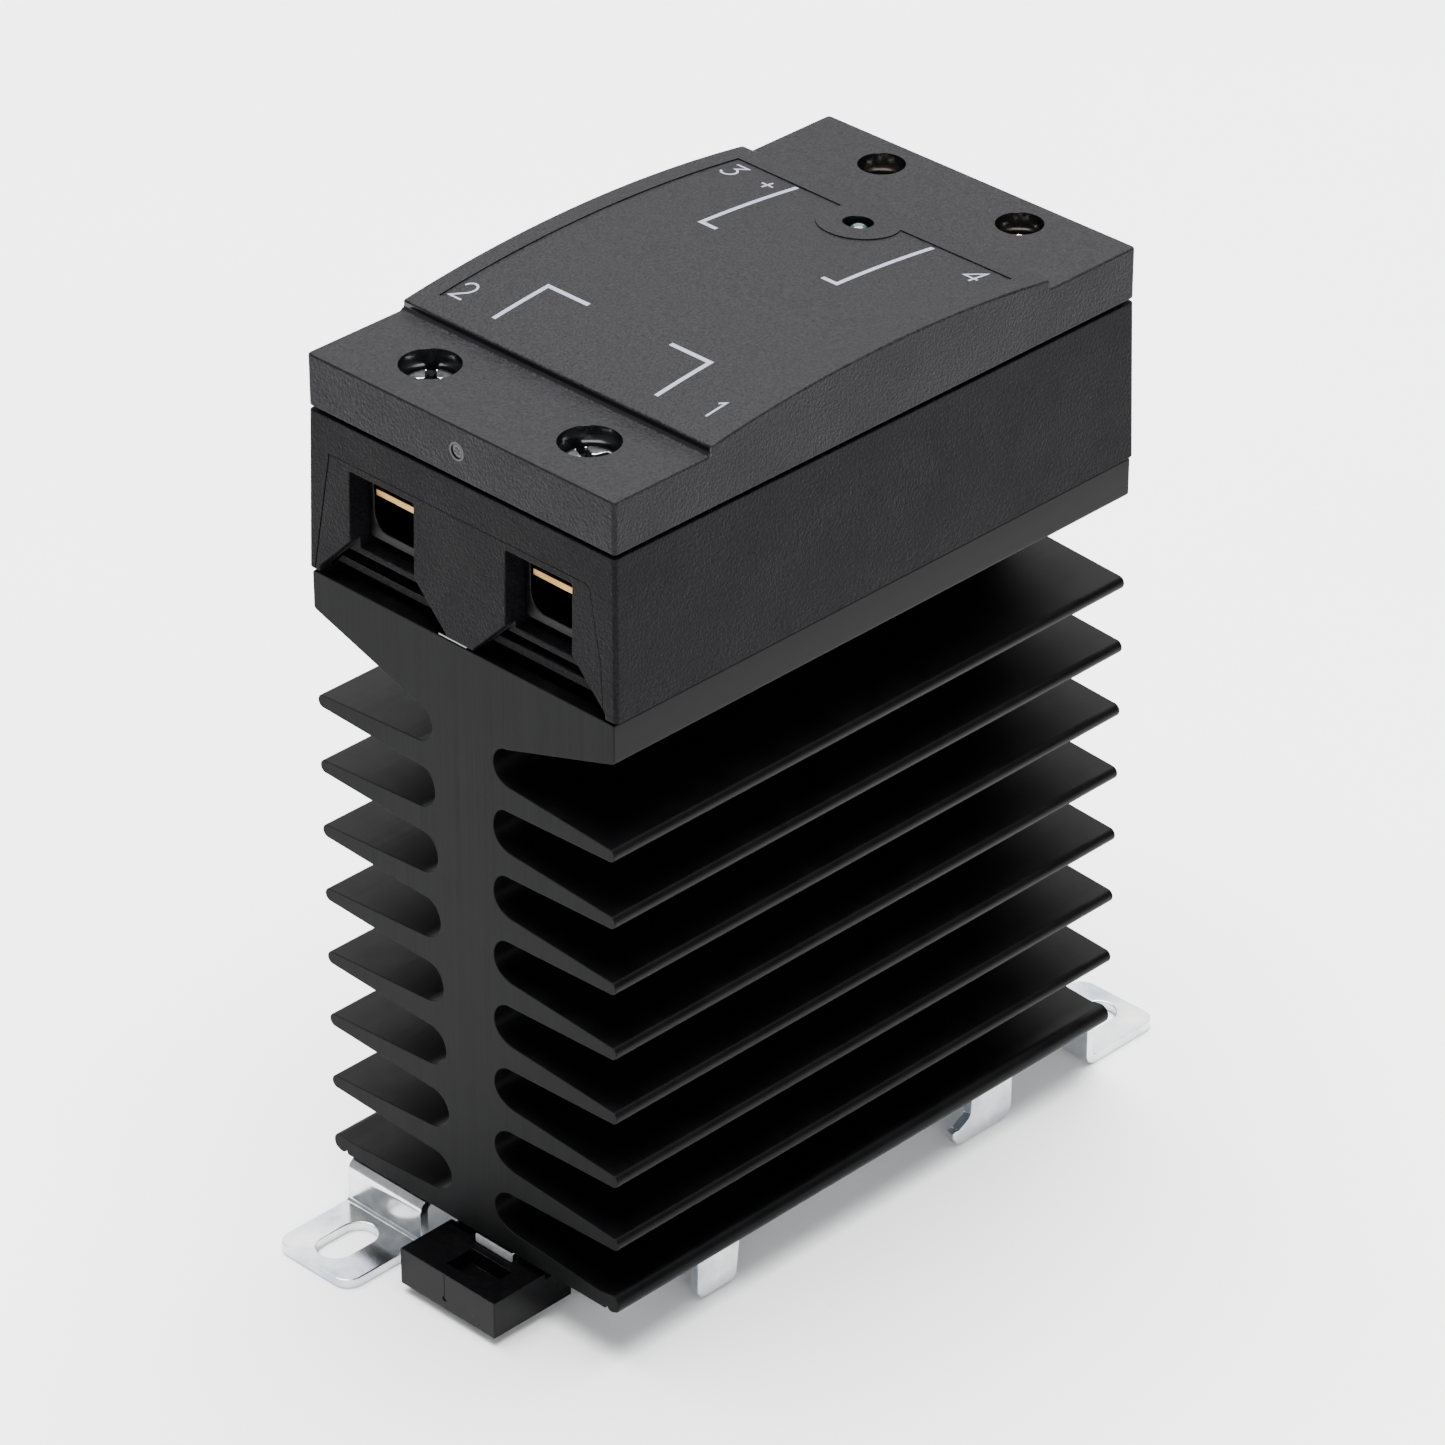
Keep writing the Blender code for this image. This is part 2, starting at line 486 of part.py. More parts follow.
def cap_screw(name, at, head_r, head_h, shank_r, length, mat):
    """A pan head screw driven upward: its head hangs under the bracket plate."""
    profile = [(0.0, length), (shank_r - 0.5, length), (shank_r, length - 0.5), (shank_r, 0.0), (head_r, 0.0),
               (head_r, -head_h * 0.6), (head_r * 0.88, -head_h * 0.86), (head_r * 0.62, -head_h), (0.0, -head_h)]
    bm = bmesh.new()
    vs = [bm.verts.new((x, 0, z)) for x, z in profile]
    es = [bm.edges.new((vs[i], vs[i + 1])) for i in range(len(vs) - 1)]
    bmesh.ops.spin(bm, geom=vs + es, cent=(0, 0, 0), axis=(0, 0, 1), angle=2 * pi, steps=28, use_merge=True)
    bmesh.ops.remove_doubles(bm, verts=bm.verts[:], dist=0.0005)
    ob = emit(name, bm, mat, at=at)
    for a, b in ((2.0, 0.5), (0.5, 2.0)):
        cut(ob, box("t", (-a, a), (-b, b), (-head_h - 1, -head_h * 0.4), at=at))
    return ob


cap_screw("bracket_screw_front", (-SCREW_BR[0], -SCREW_BR[1], 5.0), 3.4, 2.1, 1.7, 3.6, SCREW_STEEL)
cap_screw("bracket_screw_rear", (SCREW_BR[0], SCREW_BR[1], 5.0), 3.4, 2.1, 1.7, 3.6, SCREW_STEEL)

# =====================================================================================
# Latch: slides out along -Y against its spring; its nose holds the rail's front lip
# =====================================================================================
LATCH_Z = 1.05
latch = box("din_latch", LATCH_X, (-45.9, -38.2), (LATCH_Z, 5.7), LATCH_PLASTIC)
nose = [(-39.0, LATCH_Z), (-15.6, LATCH_Z), (-14.0, 2.4), (-14.0, 3.4), (-15.2, 4.0), (-17.0, 4.0), (-17.0, 5.0),
        (-39.0, 5.0)]
join(latch, prism("t", nose, "X", *LATCH_X))
for s, edge in ((-1, LATCH_X[0]), (1, LATCH_X[1])):
    # a ledge on each side that runs on the bracket's guides
    side = sorted((edge - s * 1.7, edge + s * 1.0))
    cut(latch, box("t", side, (-34.35, -13.0), (0.0, 3.5)))
cut(latch, box("t", (-0.2, 6.1), (-39.4, -37.0), (4.9, 7.0)))
cut(latch, box("t", (0.45, 5.25), (-36.5, -24.0), (2.2, 7.0)))
cut(latch, box("t", (1.1, 7.3), (-44.2, -40.5), (3.7, 7.0)))

# compression spring between the bracket's tab and the rear wall of the latch's pocket
SPRING_R, WIRE_R, TURNS = 1.0, 0.2, 9
curve = bpy.data.curves.new("latch_spring", "CURVE")
curve.dimensions = "3D"
curve.bevel_depth = WIRE_R * MM
curve.bevel_resolution = 1
curve.use_fill_caps = True
steps = TURNS * 12
line = curve.splines.new("POLY")
line.points.add(steps)
for i in range(steps + 1):
    a = 2 * pi * i / 12
    # the first and last turns close up
    u = i / steps
    y = -34.7 + 10.2 * (u if 0.1 < u < 0.9 else (u * 0.5 + 0.05 if u <= 0.1 else 0.95 - (1 - u) * 0.5))
    line.points[i].co = ((2.85 + SPRING_R * cos(a)) * MM, y * MM, (3.6 + SPRING_R * sin(a)) * MM, 1.0)
curve.materials.append(SPRING)
ROOT.objects.link(bpy.data.objects.new("latch_spring", curve))
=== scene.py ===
"""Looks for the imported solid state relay: detailed shells over the CAD nodes, printed lines, materials, floor, light and camera.

Lengths in the builders below are millimetres in the part's own frame; done() turns a piece into metres.
"""

from math import atan2, cos, degrees, hypot, pi, radians, sin, sqrt

import bmesh
import bpy
from mathutils import Matrix, Vector


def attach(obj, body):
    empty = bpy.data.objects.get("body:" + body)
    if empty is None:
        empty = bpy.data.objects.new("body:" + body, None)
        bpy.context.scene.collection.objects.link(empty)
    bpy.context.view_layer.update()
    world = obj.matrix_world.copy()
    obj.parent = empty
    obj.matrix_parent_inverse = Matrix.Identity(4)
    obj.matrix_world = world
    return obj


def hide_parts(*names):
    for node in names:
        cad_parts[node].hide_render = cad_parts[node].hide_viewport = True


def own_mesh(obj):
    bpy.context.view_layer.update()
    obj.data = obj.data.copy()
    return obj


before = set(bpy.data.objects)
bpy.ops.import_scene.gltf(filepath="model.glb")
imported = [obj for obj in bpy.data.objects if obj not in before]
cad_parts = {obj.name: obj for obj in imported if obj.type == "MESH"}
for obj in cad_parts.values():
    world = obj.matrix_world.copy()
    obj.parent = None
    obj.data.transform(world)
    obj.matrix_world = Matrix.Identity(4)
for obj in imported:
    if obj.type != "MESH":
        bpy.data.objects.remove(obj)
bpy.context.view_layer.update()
COLL = bpy.context.scene.collection


# =====================================================================================
# Materials
# =====================================================================================
class Nodes:
    """A short way to write a node tree that ends in one Principled shader."""

    def __init__(self, name, rgb, rough, metal=0.0, spec=0.5):
        self.m = bpy.data.materials.new(name)
        self.m.use_nodes = True
        self.t = self.m.node_tree
        self.b = self.t.nodes["Principled BSDF"]
        self.b.inputs["Base Color"].default_value = (*rgb, 1)
        self.b.inputs["Roughness"].default_value = rough
        self.b.inputs["Metallic"].default_value = metal
        self.b.inputs["Specular IOR Level"].default_value = spec
        self.m.diffuse_color = (*rgb, 1)
        self.height = None
        self.tc = self.t.nodes.new("ShaderNodeTexCoord").outputs["Object"]

    def node(self, kind, **sockets):
        n = self.t.nodes.new(kind)
        for k, v in sockets.items():
            self.put(n.inputs[k.replace("_", " ")], v)
        return n

    def put(self, socket, v):
        if isinstance(v, bpy.types.NodeSocket):
            self.t.links.new(v, socket)
        else:
            socket.default_value = v

    def at(self, scale=(1, 1, 1), turn=(0, 0, 0), move=(0, 0, 0)):
        n = self.t.nodes.new("ShaderNodeMapping")
        self.t.links.new(self.tc, n.inputs["Vector"])
        n.inputs["Scale"].default_value = scale
        n.inputs["Rotation"].default_value = turn
        n.inputs["Location"].default_value = move
        return n.outputs[0]

    def noise(self, scale, detail=3.0, rough=0.55, vec=None, distort=0.0):
        n = self.node("ShaderNodeTexNoise", Scale=scale, Detail=detail, Roughness=rough, Distortion=distort)
        self.t.links.new(vec or self.tc, n.inputs["Vector"])
        return n.outputs["Fac"]

    def cells(self, scale, vec=None, feature="F1"):
        n = self.node("ShaderNodeTexVoronoi", Scale=scale)
        n.feature = feature
        self.t.links.new(vec or self.tc, n.inputs["Vector"])
        return n.outputs["Distance"]

    def ramp(self, fac, stops, ease="LINEAR"):
        n = self.t.nodes.new("ShaderNodeValToRGB")
        n.color_ramp.interpolation = ease
        while len(n.color_ramp.elements) < len(stops):
            n.color_ramp.elements.new(0.5)
        for e, (p, c) in zip(n.color_ramp.elements, stops):
            e.position = p
            e.color = (*c, 1) if hasattr(c, "__len__") else (c, c, c, 1)
        self.t.links.new(fac, n.inputs["Fac"])
        return n.outputs["Color"]

    def mix(self, fac, a, b, blend="MIX"):
        n = self.t.nodes.new("ShaderNodeMix")
        n.data_type = "RGBA"
        n.blend_type = blend
        self.put(n.inputs[0], fac)
        for s, v in ((n.inputs[6], a), (n.inputs[7], b)):
            self.put(s, v if isinstance(v, bpy.types.NodeSocket) else (*v, 1))
        return n.outputs[2]

    def math(self, op, a, b=0.0, c=0.0, clamp=False):
        n = self.t.nodes.new("ShaderNodeMath")
        n.operation = op
        n.use_clamp = clamp
        for s, v in zip(n.inputs, (a, b, c)):
            self.put(s, v)
        return n.outputs[0]

    def colour(self, v):
        self.t.links.new(v, self.b.inputs["Base Color"])
        return self

    def rough(self, fac, lo, hi):
        r = self.ramp(fac, [(0.3, lo), (0.7, hi)])
        self.t.links.new(r, self.b.inputs["Roughness"])
        return self

    def bump(self, fac, depth, strength=1.0):
        n = self.node("ShaderNodeBump", Strength=strength, Distance=depth)
        self.t.links.new(fac, n.inputs["Height"])
        if self.height is not None:
            self.t.links.new(self.height, n.inputs["Normal"])
        self.height = n.outputs[0]
        self.t.links.new(self.height, self.b.inputs["Normal"])
        return self


def plastic(name, low, high, r0, r1, grain=2600.0, depth=3.2e-5, spec=0.5):
    """Moulded plastic from a spark-eroded tool: a fine grain of tiny hollows, with a faint cloudiness over it."""
    k = Nodes(name, [(a + b) / 2 for a, b in zip(low, high)], (r0 + r1) / 2, spec=spec)
    fine = k.noise(grain, 2.0, 0.6)
    pits = k.cells(grain * 0.62)
    broad = k.noise(160.0, 3.0, 0.6)
    spots = k.mix(0.25, k.ramp(fine, [(0.32, low), (0.72, high)]), k.ramp(broad, [(0.3, low), (0.7, high)]))
    k.colour(spots)
    k.rough(broad, r0, r1)
    k.bump(fine, depth, 0.9)
    k.bump(pits, depth * 0.7, 0.5)
    return k.m


def metal(name, low, high, r0, r1, lines=None, depth=4e-6, broad=220.0, spec=0.5, metallic=1.0):
    """Metal with drawn or rolled lines along an axis: lines is how much the noise is stretched on each axis."""
    k = Nodes(name, [(a + b) / 2 for a, b in zip(low, high)], (r0 + r1) / 2, metallic, spec)
    cloud = k.noise(broad, 4.0, 0.6)
    k.colour(k.ramp(cloud, [(0.3, low), (0.7, high)]))
    scratch = k.noise(1.0, 4.0, 0.7, k.at(lines or (900, 900, 900)))
    k.rough(k.math("ADD", k.math("MULTIPLY", cloud, 0.5), k.math("MULTIPLY", scratch, 0.5)), r0, r1)
    k.bump(scratch, depth, 0.8)
    return k.m


COVER = plastic("cover_plastic", (0.0006, 0.0005, 0.0008), (0.0120, 0.0112, 0.0136), 0.46, 0.58, 3600.0, 1.1e-4, spec=0.085)
HOUSING = plastic("housing_plastic", (0.0006, 0.0006, 0.0008), (0.0070, 0.0067, 0.0078), 0.48, 0.60, 3600.0, 9.0e-5, spec=0.045)
LATCH = plastic("latch_plastic", (0.0012, 0.0012, 0.0014), (0.0024, 0.0024, 0.0027), 0.20, 0.30, grain=900.0, depth=0.5e-5,
                spec=0.09)
# darker smooth black plastic for the walls of the wells and the lamp hole, and painted shade on the face of the cover's
# step
SMOOTH_PLASTIC_AND_STEP_SHADE = plastic("smooth_black_plastic_and_step_shade", (0.003, 0.003, 0.0035), (0.005, 0.005, 0.0055), 0.14, 0.2, 1200.0, 3e-6, 0.35)
SCUFF = plastic("scuffed_plastic", (0.03, 0.03, 0.031), (0.05, 0.05, 0.051), 0.55, 0.7, 3600.0, 2e-5, 0.3)
# near black steel inside the screws' drive recesses: painted shade
SCREW_RECESS_SHADE = metal("screw_recess_painted_shade", (0.05, 0.055, 0.06), (0.12, 0.125, 0.13), 0.3, 0.45, (900, 900, 900), 3e-6, 700.0)
# brighter steel on the rim of each cage's opening: a painted highlight
CAGE_RIM_HIGHLIGHT = metal("cage_rim_painted_highlight", (0.10, 0.10, 0.102), (0.20, 0.20, 0.205), 0.25, 0.36, (900, 900, 900), 2e-6, 500.0)
SHEARED = metal("sheared_zinc_edge", (0.24, 0.24, 0.255), (0.42, 0.42, 0.43), 0.6, 0.75, (3000, 600, 600), 1.2e-5, 900.0,
                metallic=0.35)
SKIN = metal("anodised_skin", (0.0010, 0.0010, 0.0012), (0.0024, 0.0023, 0.0027), 0.34, 0.46, (2600, 14, 2600), 5e-6,
             300.0, 0.06, 0.0)
SAWN = metal("anodised_sawn_face", (0.0012, 0.0013, 0.0014), (0.0034, 0.0035, 0.0038), 0.46, 0.60, (2400, 2400, 24), 2.0e-5,
             300.0, 0.055, 0.0)
BARE = metal("bare_aluminium", (0.12, 0.12, 0.122), (0.20, 0.20, 0.204), 0.25, 0.4, (60, 2500, 2500), 3e-6)
ZINC = metal("zinc_plated_steel", (0.36, 0.405, 0.48), (0.84, 0.835, 0.805), 0.12, 0.22, (420, 90, 420), 4e-6, 150.0)
SCREW = metal("zinc_screw", (0.66, 0.70, 0.76), (0.82, 0.82, 0.81), 0.14, 0.26, (1500, 1500, 600), 3e-6, 700.0)
NICKEL = metal("nickel_screw", (0.62, 0.50, 0.42), (0.78, 0.70, 0.62), 0.16, 0.28, (1500, 1500, 600), 3e-6, 700.0)
# near black steel for the wire clamp cages: painted shade, for cage fronts that stand in shade
SHADED_CAGE = metal("cage_steel", (0.006, 0.006, 0.0065), (0.014, 0.0138, 0.0135), 0.35, 0.5, (2400, 90, 2400), 4e-6, 500.0)
BRASS = metal("brass_blade", (0.24, 0.13, 0.030), (0.36, 0.22, 0.070), 0.26, 0.40, (90, 2400, 2400), 4e-6, 500.0)
COPPER = metal("copper_strap", (0.62, 0.28, 0.17), (0.78, 0.42, 0.28), 0.28, 0.42, (2000, 120, 2000), 3e-6, 300.0)
SPREADER = metal("spreader_aluminium", (0.62, 0.62, 0.63), (0.78, 0.78, 0.79), 0.28, 0.44, (2400, 60, 2400), 4e-6)
SPRINGWIRE = metal("spring_steel", (0.42, 0.42, 0.44), (0.62, 0.62, 0.63), 0.20, 0.34, (800, 800, 800), 2e-6, 900.0)


def plain(name, low, high, r0, r1, scale, depth, metallic=0.0, spec=0.5):
    k = Nodes(name, [(a + b) / 2 for a, b in zip(low, high)], (r0 + r1) / 2, metallic, spec)
    n = k.noise(scale, 4.0, 0.6)
    k.colour(k.ramp(n, [(0.3, low), (0.7, high)]))
    k.rough(n, r0, r1)
    k.bump(n, depth, 0.6)
    return k.m


CERAMIC = plain("alumina", (0.78, 0.77, 0.73), (0.88, 0.87, 0.84), 0.5, 0.62, 2200.0, 6e-6)
SILICON = plain("silicon", (0.10, 0.11, 0.14), (0.17, 0.18, 0.22), 0.12, 0.2, 500.0, 1e-6)
EPOXY = plain("component_black", (0.018, 0.018, 0.018), (0.035, 0.035, 0.035), 0.42, 0.58, 3000.0, 1e-5)
FILM = plain("film_capacitor", (0.36, 0.05, 0.035), (0.52, 0.085, 0.06), 0.28, 0.4, 700.0, 2e-5)
VARISTOR = plain("suppressor_body", (0.03, 0.10, 0.30), (0.06, 0.16, 0.40), 0.34, 0.48, 900.0, 2e-5)
PRINT = plain("print_ink", (0.150, 0.158, 0.195), (0.215, 0.225, 0.265), 0.5, 0.62, 4600.0, 4e-6, spec=0.15)


def resistor_paint():
    """Lacquer with colour bands round the body, which lies along X."""
    k = Nodes("resistor_body", (0.62, 0.5, 0.34), 0.45)
    sep = k.t.nodes.new("ShaderNodeSeparateXYZ")
    k.t.links.new(k.tc, sep.inputs[0])
    wave = k.math("FRACT", k.math("MULTIPLY", sep.outputs[0], 620.0))
    band = k.ramp(wave, [(0.0, (0.55, 0.42, 0.27)), (0.30, (0.12, 0.03, 0.02)), (0.46, (0.55, 0.42, 0.27)),
                         (0.72, (0.42, 0.16, 0.03)), (0.88, (0.55, 0.42, 0.27))], "CONSTANT")
    n = k.noise(1800.0)
    k.colour(k.mix(k.math("MULTIPLY", n, 0.25), band, (0.66, 0.54, 0.38)))
    k.rough(n, 0.35, 0.5)
    k.bump(n, 6e-6, 0.6)
    return k.m


def board_paint():
    """Green solder mask over tracks that show as slightly lighter lines."""
    k = Nodes("board", (0.04, 0.17, 0.08), 0.45)
    brick = k.node("ShaderNodeTexBrick", Scale=150.0)
    brick.inputs["Mortar Size"].default_value = 0.06
    k.t.links.new(k.tc, brick.inputs["Vector"])
    k.colour(k.mix(brick.outputs["Fac"], (0.015, 0.085, 0.035), (0.045, 0.19, 0.08)))
    k.rough(k.noise(900.0), 0.36, 0.5)
    k.bump(brick.outputs["Fac"], 2e-5, 0.5)
    return k.m


def lens_paint():
    """A small moulded light pipe, grey green and lightly cloudy."""
    k = Nodes("lamp_lens", (0.02, 0.038, 0.029), 0.15)
    n = k.noise(1400.0, 3.0)
    k.colour(k.ramp(n, [(0.3, (0.012, 0.024, 0.018)), (0.7, (0.030, 0.052, 0.040))]))
    k.rough(n, 0.10, 0.2)
    k.bump(n, 3e-6, 0.5)
    k.b.inputs["Coat Weight"].default_value = 0.25
    k.b.inputs["Coat Roughness"].default_value = 0.05
    return k.m


RESISTOR, BOARD, LENS = resistor_paint(), board_paint(), lens_paint()


# =====================================================================================
# Builders, in millimetres
# =====================================================================================
def make(name, bm):
    bmesh.ops.recalc_face_normals(bm, faces=bm.faces[:])
    me = bpy.data.meshes.new(name)
    bm.to_mesh(me)
    bm.free()
    ob = bpy.data.objects.new(name, me)
    COLL.objects.link(ob)
    return ob


def put(p, axis, depth):
    a, b = p
    return {"X": (depth, a, b), "Y": (a, depth, b), "Z": (a, b, depth)}[axis]


def prism(name, outline, axis, lo, hi):
    bm = bmesh.new()
    face = bm.faces.new([bm.verts.new(put(p, axis, lo)) for p in outline])
    grown = bmesh.ops.extrude_face_region(bm, geom=[face])
    verts = [g for g in grown["geom"] if isinstance(g, bmesh.types.BMVert)]
    bmesh.ops.translate(bm, verts=verts, vec=put((0, 0), axis, hi - lo))
    return make(name, bm)


def box(name, x, y, z):
    return prism(name, [(x[0], y[0]), (x[1], y[0]), (x[1], y[1]), (x[0], y[1])], "Z", z[0], z[1])


def lathe(name, profile, at=(0, 0, 0), steps=64):
    """A solid of revolution about Z from (radius, height) points that start and end on the axis."""
    bm = bmesh.new()
    rings = []
    for r, z in profile:
        if r <= 1e-6:
            rings.append([bm.verts.new((at[0], at[1], at[2] + z))])
        else:
            rings.append([bm.verts.new((at[0] + r * cos(2 * pi * i / steps), at[1] + r * sin(2 * pi * i / steps), at[2] + z))
                          for i in range(steps)])
    for a, b in zip(rings, rings[1:]):
        for i in range(steps):
            j = (i + 1) % steps
            if len(a) == 1:
                bm.faces.new((a[0], b[j], b[i]))
            elif len(b) == 1:
                bm.faces.new((a[i], a[j], b[0]))
            else:
                bm.faces.new((a[i], a[j], b[j], b[i]))
    return make(name, bm)


def rod(name, centre, r, lo, hi, axis="Z", steps=48):
    return prism(name, [(centre[0] + r * cos(2 * pi * i / steps), centre[1] + r * sin(2 * pi * i / steps))
                        for i in range(steps)], axis, lo, hi)


def arc(cx, cy, r, a0, a1, n):
    return [(cx + r * cos(radians(a0 + (a1 - a0) * i / n)), cy + r * sin(radians(a0 + (a1 - a0) * i / n)))
            for i in range(n + 1)]


def ellipse(cx, cy, rx, ry, a0, a1, n):
    return [(cx + rx * cos(radians(a0 + (a1 - a0) * i / n)), cy + ry * sin(radians(a0 + (a1 - a0) * i / n)))
            for i in range(n + 1)]


def rounded(hx, hy, r, n=8, cx=0.0, cy=0.0):
    pts = []
    for sx, sy, a in ((1, 1, 0), (-1, 1, 90), (-1, -1, 180), (1, -1, 270)):
        pts += arc(cx + sx * (hx - r), cy + sy * (hy - r), r, a, a + 90, n)
    return pts


def loft(name, low, high, z0, z1):
    bm = bmesh.new()
    a = [bm.verts.new((*p, z0)) for p in low]
    b = [bm.verts.new((*p, z1)) for p in high]
    bm.faces.new(a[::-1])
    bm.faces.new(b)
    for i in range(len(a)):
        j = (i + 1) % len(a)
        bm.faces.new((a[i], a[j], b[j], b[i]))
    return make(name, bm)


def combine(ob, *tools, how="DIFFERENCE"):
    """Applies the tools to the solid with exact Booleans, and removes them."""
    for t in tools:
        m = ob.modifiers.new("b", "BOOLEAN")
        m.operation, m.solver, m.object = how, "EXACT", t
    me = bpy.data.meshes.new_from_object(ob.evaluated_get(bpy.context.evaluated_depsgraph_get()))
    old = ob.data
    ob.modifiers.clear()
    ob.data = me
    bpy.data.meshes.remove(old)
    for t in tools:
        mesh = t.data
        bpy.data.objects.remove(t)
        bpy.data.meshes.remove(mesh)
    return ob


def soften(ob, width, segments=2, angle=33.0, pick=None):
    """Rounds the edges that are sharper than angle, after joining the flat faces."""
    bm = bmesh.new()
    bm.from_mesh(ob.data)
    bmesh.ops.remove_doubles(bm, verts=bm.verts[:], dist=0.004)
    bmesh.ops.dissolve_limit(bm, angle_limit=radians(0.3), verts=bm.verts[:], edges=bm.edges[:])
    edges = [e for e in bm.edges if len(e.link_faces) == 2 and e.calc_face_angle(0.0) > radians(angle)
             and (pick is None or pick(e))]
    bmesh.ops.bevel(bm, geom=edges, offset=width, offset_type="OFFSET", segments=segments, profile=0.5,
                    affect="EDGES", clamp_overlap=False, miter_outer="ARC" if segments > 1 else "SHARP")
    bmesh.ops.remove_doubles(bm, verts=bm.verts[:], dist=0.002)
    bm.to_mesh(ob.data)
    bm.free()
    return ob


def done(ob, mat, body, slot, *nodes, sharp=38.0, weighted=True, mats=None):
    """Scales a finished piece to metres, shades it, ties it to its body, and hides the CAD nodes it stands for."""
    me = ob.data
    me.transform(Matrix.Scale(0.001, 4))
    me.materials.clear()
    me.materials.append(mat)
    me.shade_smooth()
    me.set_sharp_from_angle(angle=radians(sharp))
    if mats:
        extra, test = mats
        me.materials.append(extra)
        for p in me.polygons:
            if test(p):
                p.material_index = 1
    if weighted:
        m = ob.modifiers.new("normals", "WEIGHTED_NORMAL")
        m.keep_sharp = True
        m.weight = 60
        mesh = bpy.data.meshes.new_from_object(ob.evaluated_get(bpy.context.evaluated_depsgraph_get()))
        ob.modifiers.clear()
        ob.data = mesh
    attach(ob, body)
    if nodes:
        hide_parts(*nodes)
    return ob


def mirror(span, s):
    return span if s > 0 else (-span[1], -span[0])


# =====================================================================================
# Heat sink
# =====================================================================================
HEAD_HALF_W, FIN_HALF_W, SINK_HALF_L = 22.45, 22.35, 39.06
SINK_Z = (6.8, 80.4)
FINS, FIN_PITCH, FIN1_TIP = 8, 8.124, 64.61


def spine_half(z):
    return 3.35 + 1.25 * (z - 9.0) / 59.0


def sink_side():
    side = [(HEAD_HALF_W - 0.3, SINK_Z[1]), (HEAD_HALF_W - 0.09, SINK_Z[1] - 0.09), (HEAD_HALF_W, SINK_Z[1] - 0.3),
            (HEAD_HALF_W, 76.1), (HEAD_HALF_W - 0.05, 75.92), (HEAD_HALF_W - 0.2, 75.74), (HEAD_HALF_W - 0.5, 75.62)]
    root = (6.6, 70.75)
    for i in range(FINS):
        tip = FIN1_TIP - i * FIN_PITCH
        base = i == FINS - 1
        top = tip + (1.75 if base else 1.72)
        mid = (root[1] + top) / 2
        hs = spine_half(mid)
        side += ellipse(root[0], mid, root[0] - hs, root[1] - mid, 90, 180, 14)
        side += ellipse(7.0, mid, 7.0 - hs, mid - top, 180, 270, 14)[1:]
        if not base:
            side += arc(FIN_HALF_W - 0.8, tip, 0.8, 80, -80, 12)
            root = (6.2, tip - 1.42)
        else:
            side += [(19.4, 8.72)] + arc(21.2, 7.9, 1.15, 95, -45, 14)
            side += [(21.35, SINK_Z[0]), (20.9, SINK_Z[0]), (20.62, SINK_Z[0] + 0.2), (20.45, SINK_Z[0] + 0.65),
                     (20.3, SINK_Z[0] + 0.2), (20.2, SINK_Z[0])]
    return side


half = sink_side()
sink = prism("sink_extrusion", half + [(-x, z) for x, z in reversed(half)], "Y", -SINK_HALF_L, SINK_HALF_L)
combine(sink, *[rod("t", (0, y), 1.8, 71.0, 82.0) for y in (-31.5, 33.4)])
combine(sink, *[rod("t", (s * 10.5, s * 22.0), 2.0, 5.0, 8.9) for s in (-1, 1)])
soften(sink, 0.13, 2, 50.0, lambda e: all(abs(abs(v.co.y) - SINK_HALF_L) < 1e-3 for v in e.verts))
done(sink, SKIN, "relay", "anodised_sink", "heatsink", sharp=30.0,
     mats=(SAWN, lambda p: abs(p.normal.y) > 0.9))
strip = box("sink_bare_edge", (-3.35, 0.84), (-38.95, -38.75), (80.42, 80.66))
soften(strip, 0.04, 1)
done(strip, BARE, "relay", "anodised_sink")

# =====================================================================================
# Housing
# =====================================================================================
BODY_Z = (80.7, 99.5)
FOOT, TOP = (22.9, 39.15), (22.5, 38.75)


def face_y(z):
    """How far out the front and rear faces stand at a height: the mould's draft."""
    return FOOT[1] - (FOOT[1] - TOP[1]) * (z - BODY_Z[0]) / (BODY_Z[1] - BODY_Z[0])


def face_groove(name, outline, s, width, depth, closed=False):
    """A tool that scores a line of a given width and depth in the drafted front (s = -1) or rear face."""
    n = len(outline)
    left, right = [], []
    for i, p in enumerate(outline):
        a = outline[max(0, i - 1)]
        b = outline[min(n - 1, i + 1)]
        d = Vector((b[0] - a[0], b[1] - a[1])).normalized()
        left.append((p[0] - d.y * width / 2, p[1] + d.x * width / 2))
        right.append((p[0] + d.y * width / 2, p[1] - d.x * width / 2))
    bm = bmesh.new()
    rings = []
    for l, r in zip(left, right):
        rings.append([bm.verts.new((l[0], s * (face_y(l[1]) - depth), l[1])), bm.verts.new((l[0], s * 41.0, l[1])),
                      bm.verts.new((r[0], s * 41.0, r[1])), bm.verts.new((r[0], s * (face_y(r[1]) - depth), r[1]))])
    for a, b in zip(rings, rings[1:]):
        for k in range(4):
            bm.faces.new((a[k], a[(k + 1) % 4], b[(k + 1) % 4], b[k]))
    bm.faces.new(rings[0])
    bm.faces.new(rings[-1][::-1])
    return make(name, bm)


housing = loft("housing_shell", rounded(*FOOT, 0.55), rounded(*TOP, 0.5), *BODY_Z)
combine(housing, box("t", (-20.9, 20.9), (-26.3, 27.5), (79.0, 101.0)))
tools = []
for s in (-1, 1):
    tools += [box("t", mirror((6.8, 16.4), s), (-37.3, -27.3), (84.9, 101.0)),
              box("t", mirror((8.4, 14.9), s), (-27.9, -25.6), (91.3, 92.7)),
              box("t", mirror((5.9, 14.3), s), (28.5, 37.3), (86.0, 101.0)),
              box("t", mirror((6.5, 13.7), s), (37.0, 41.0), (86.5, 93.5)),
              box("t", mirror((7.2, 13.0), s), (26.8, 29.2), (91.6, 93.0))]
combine(housing, *tools)

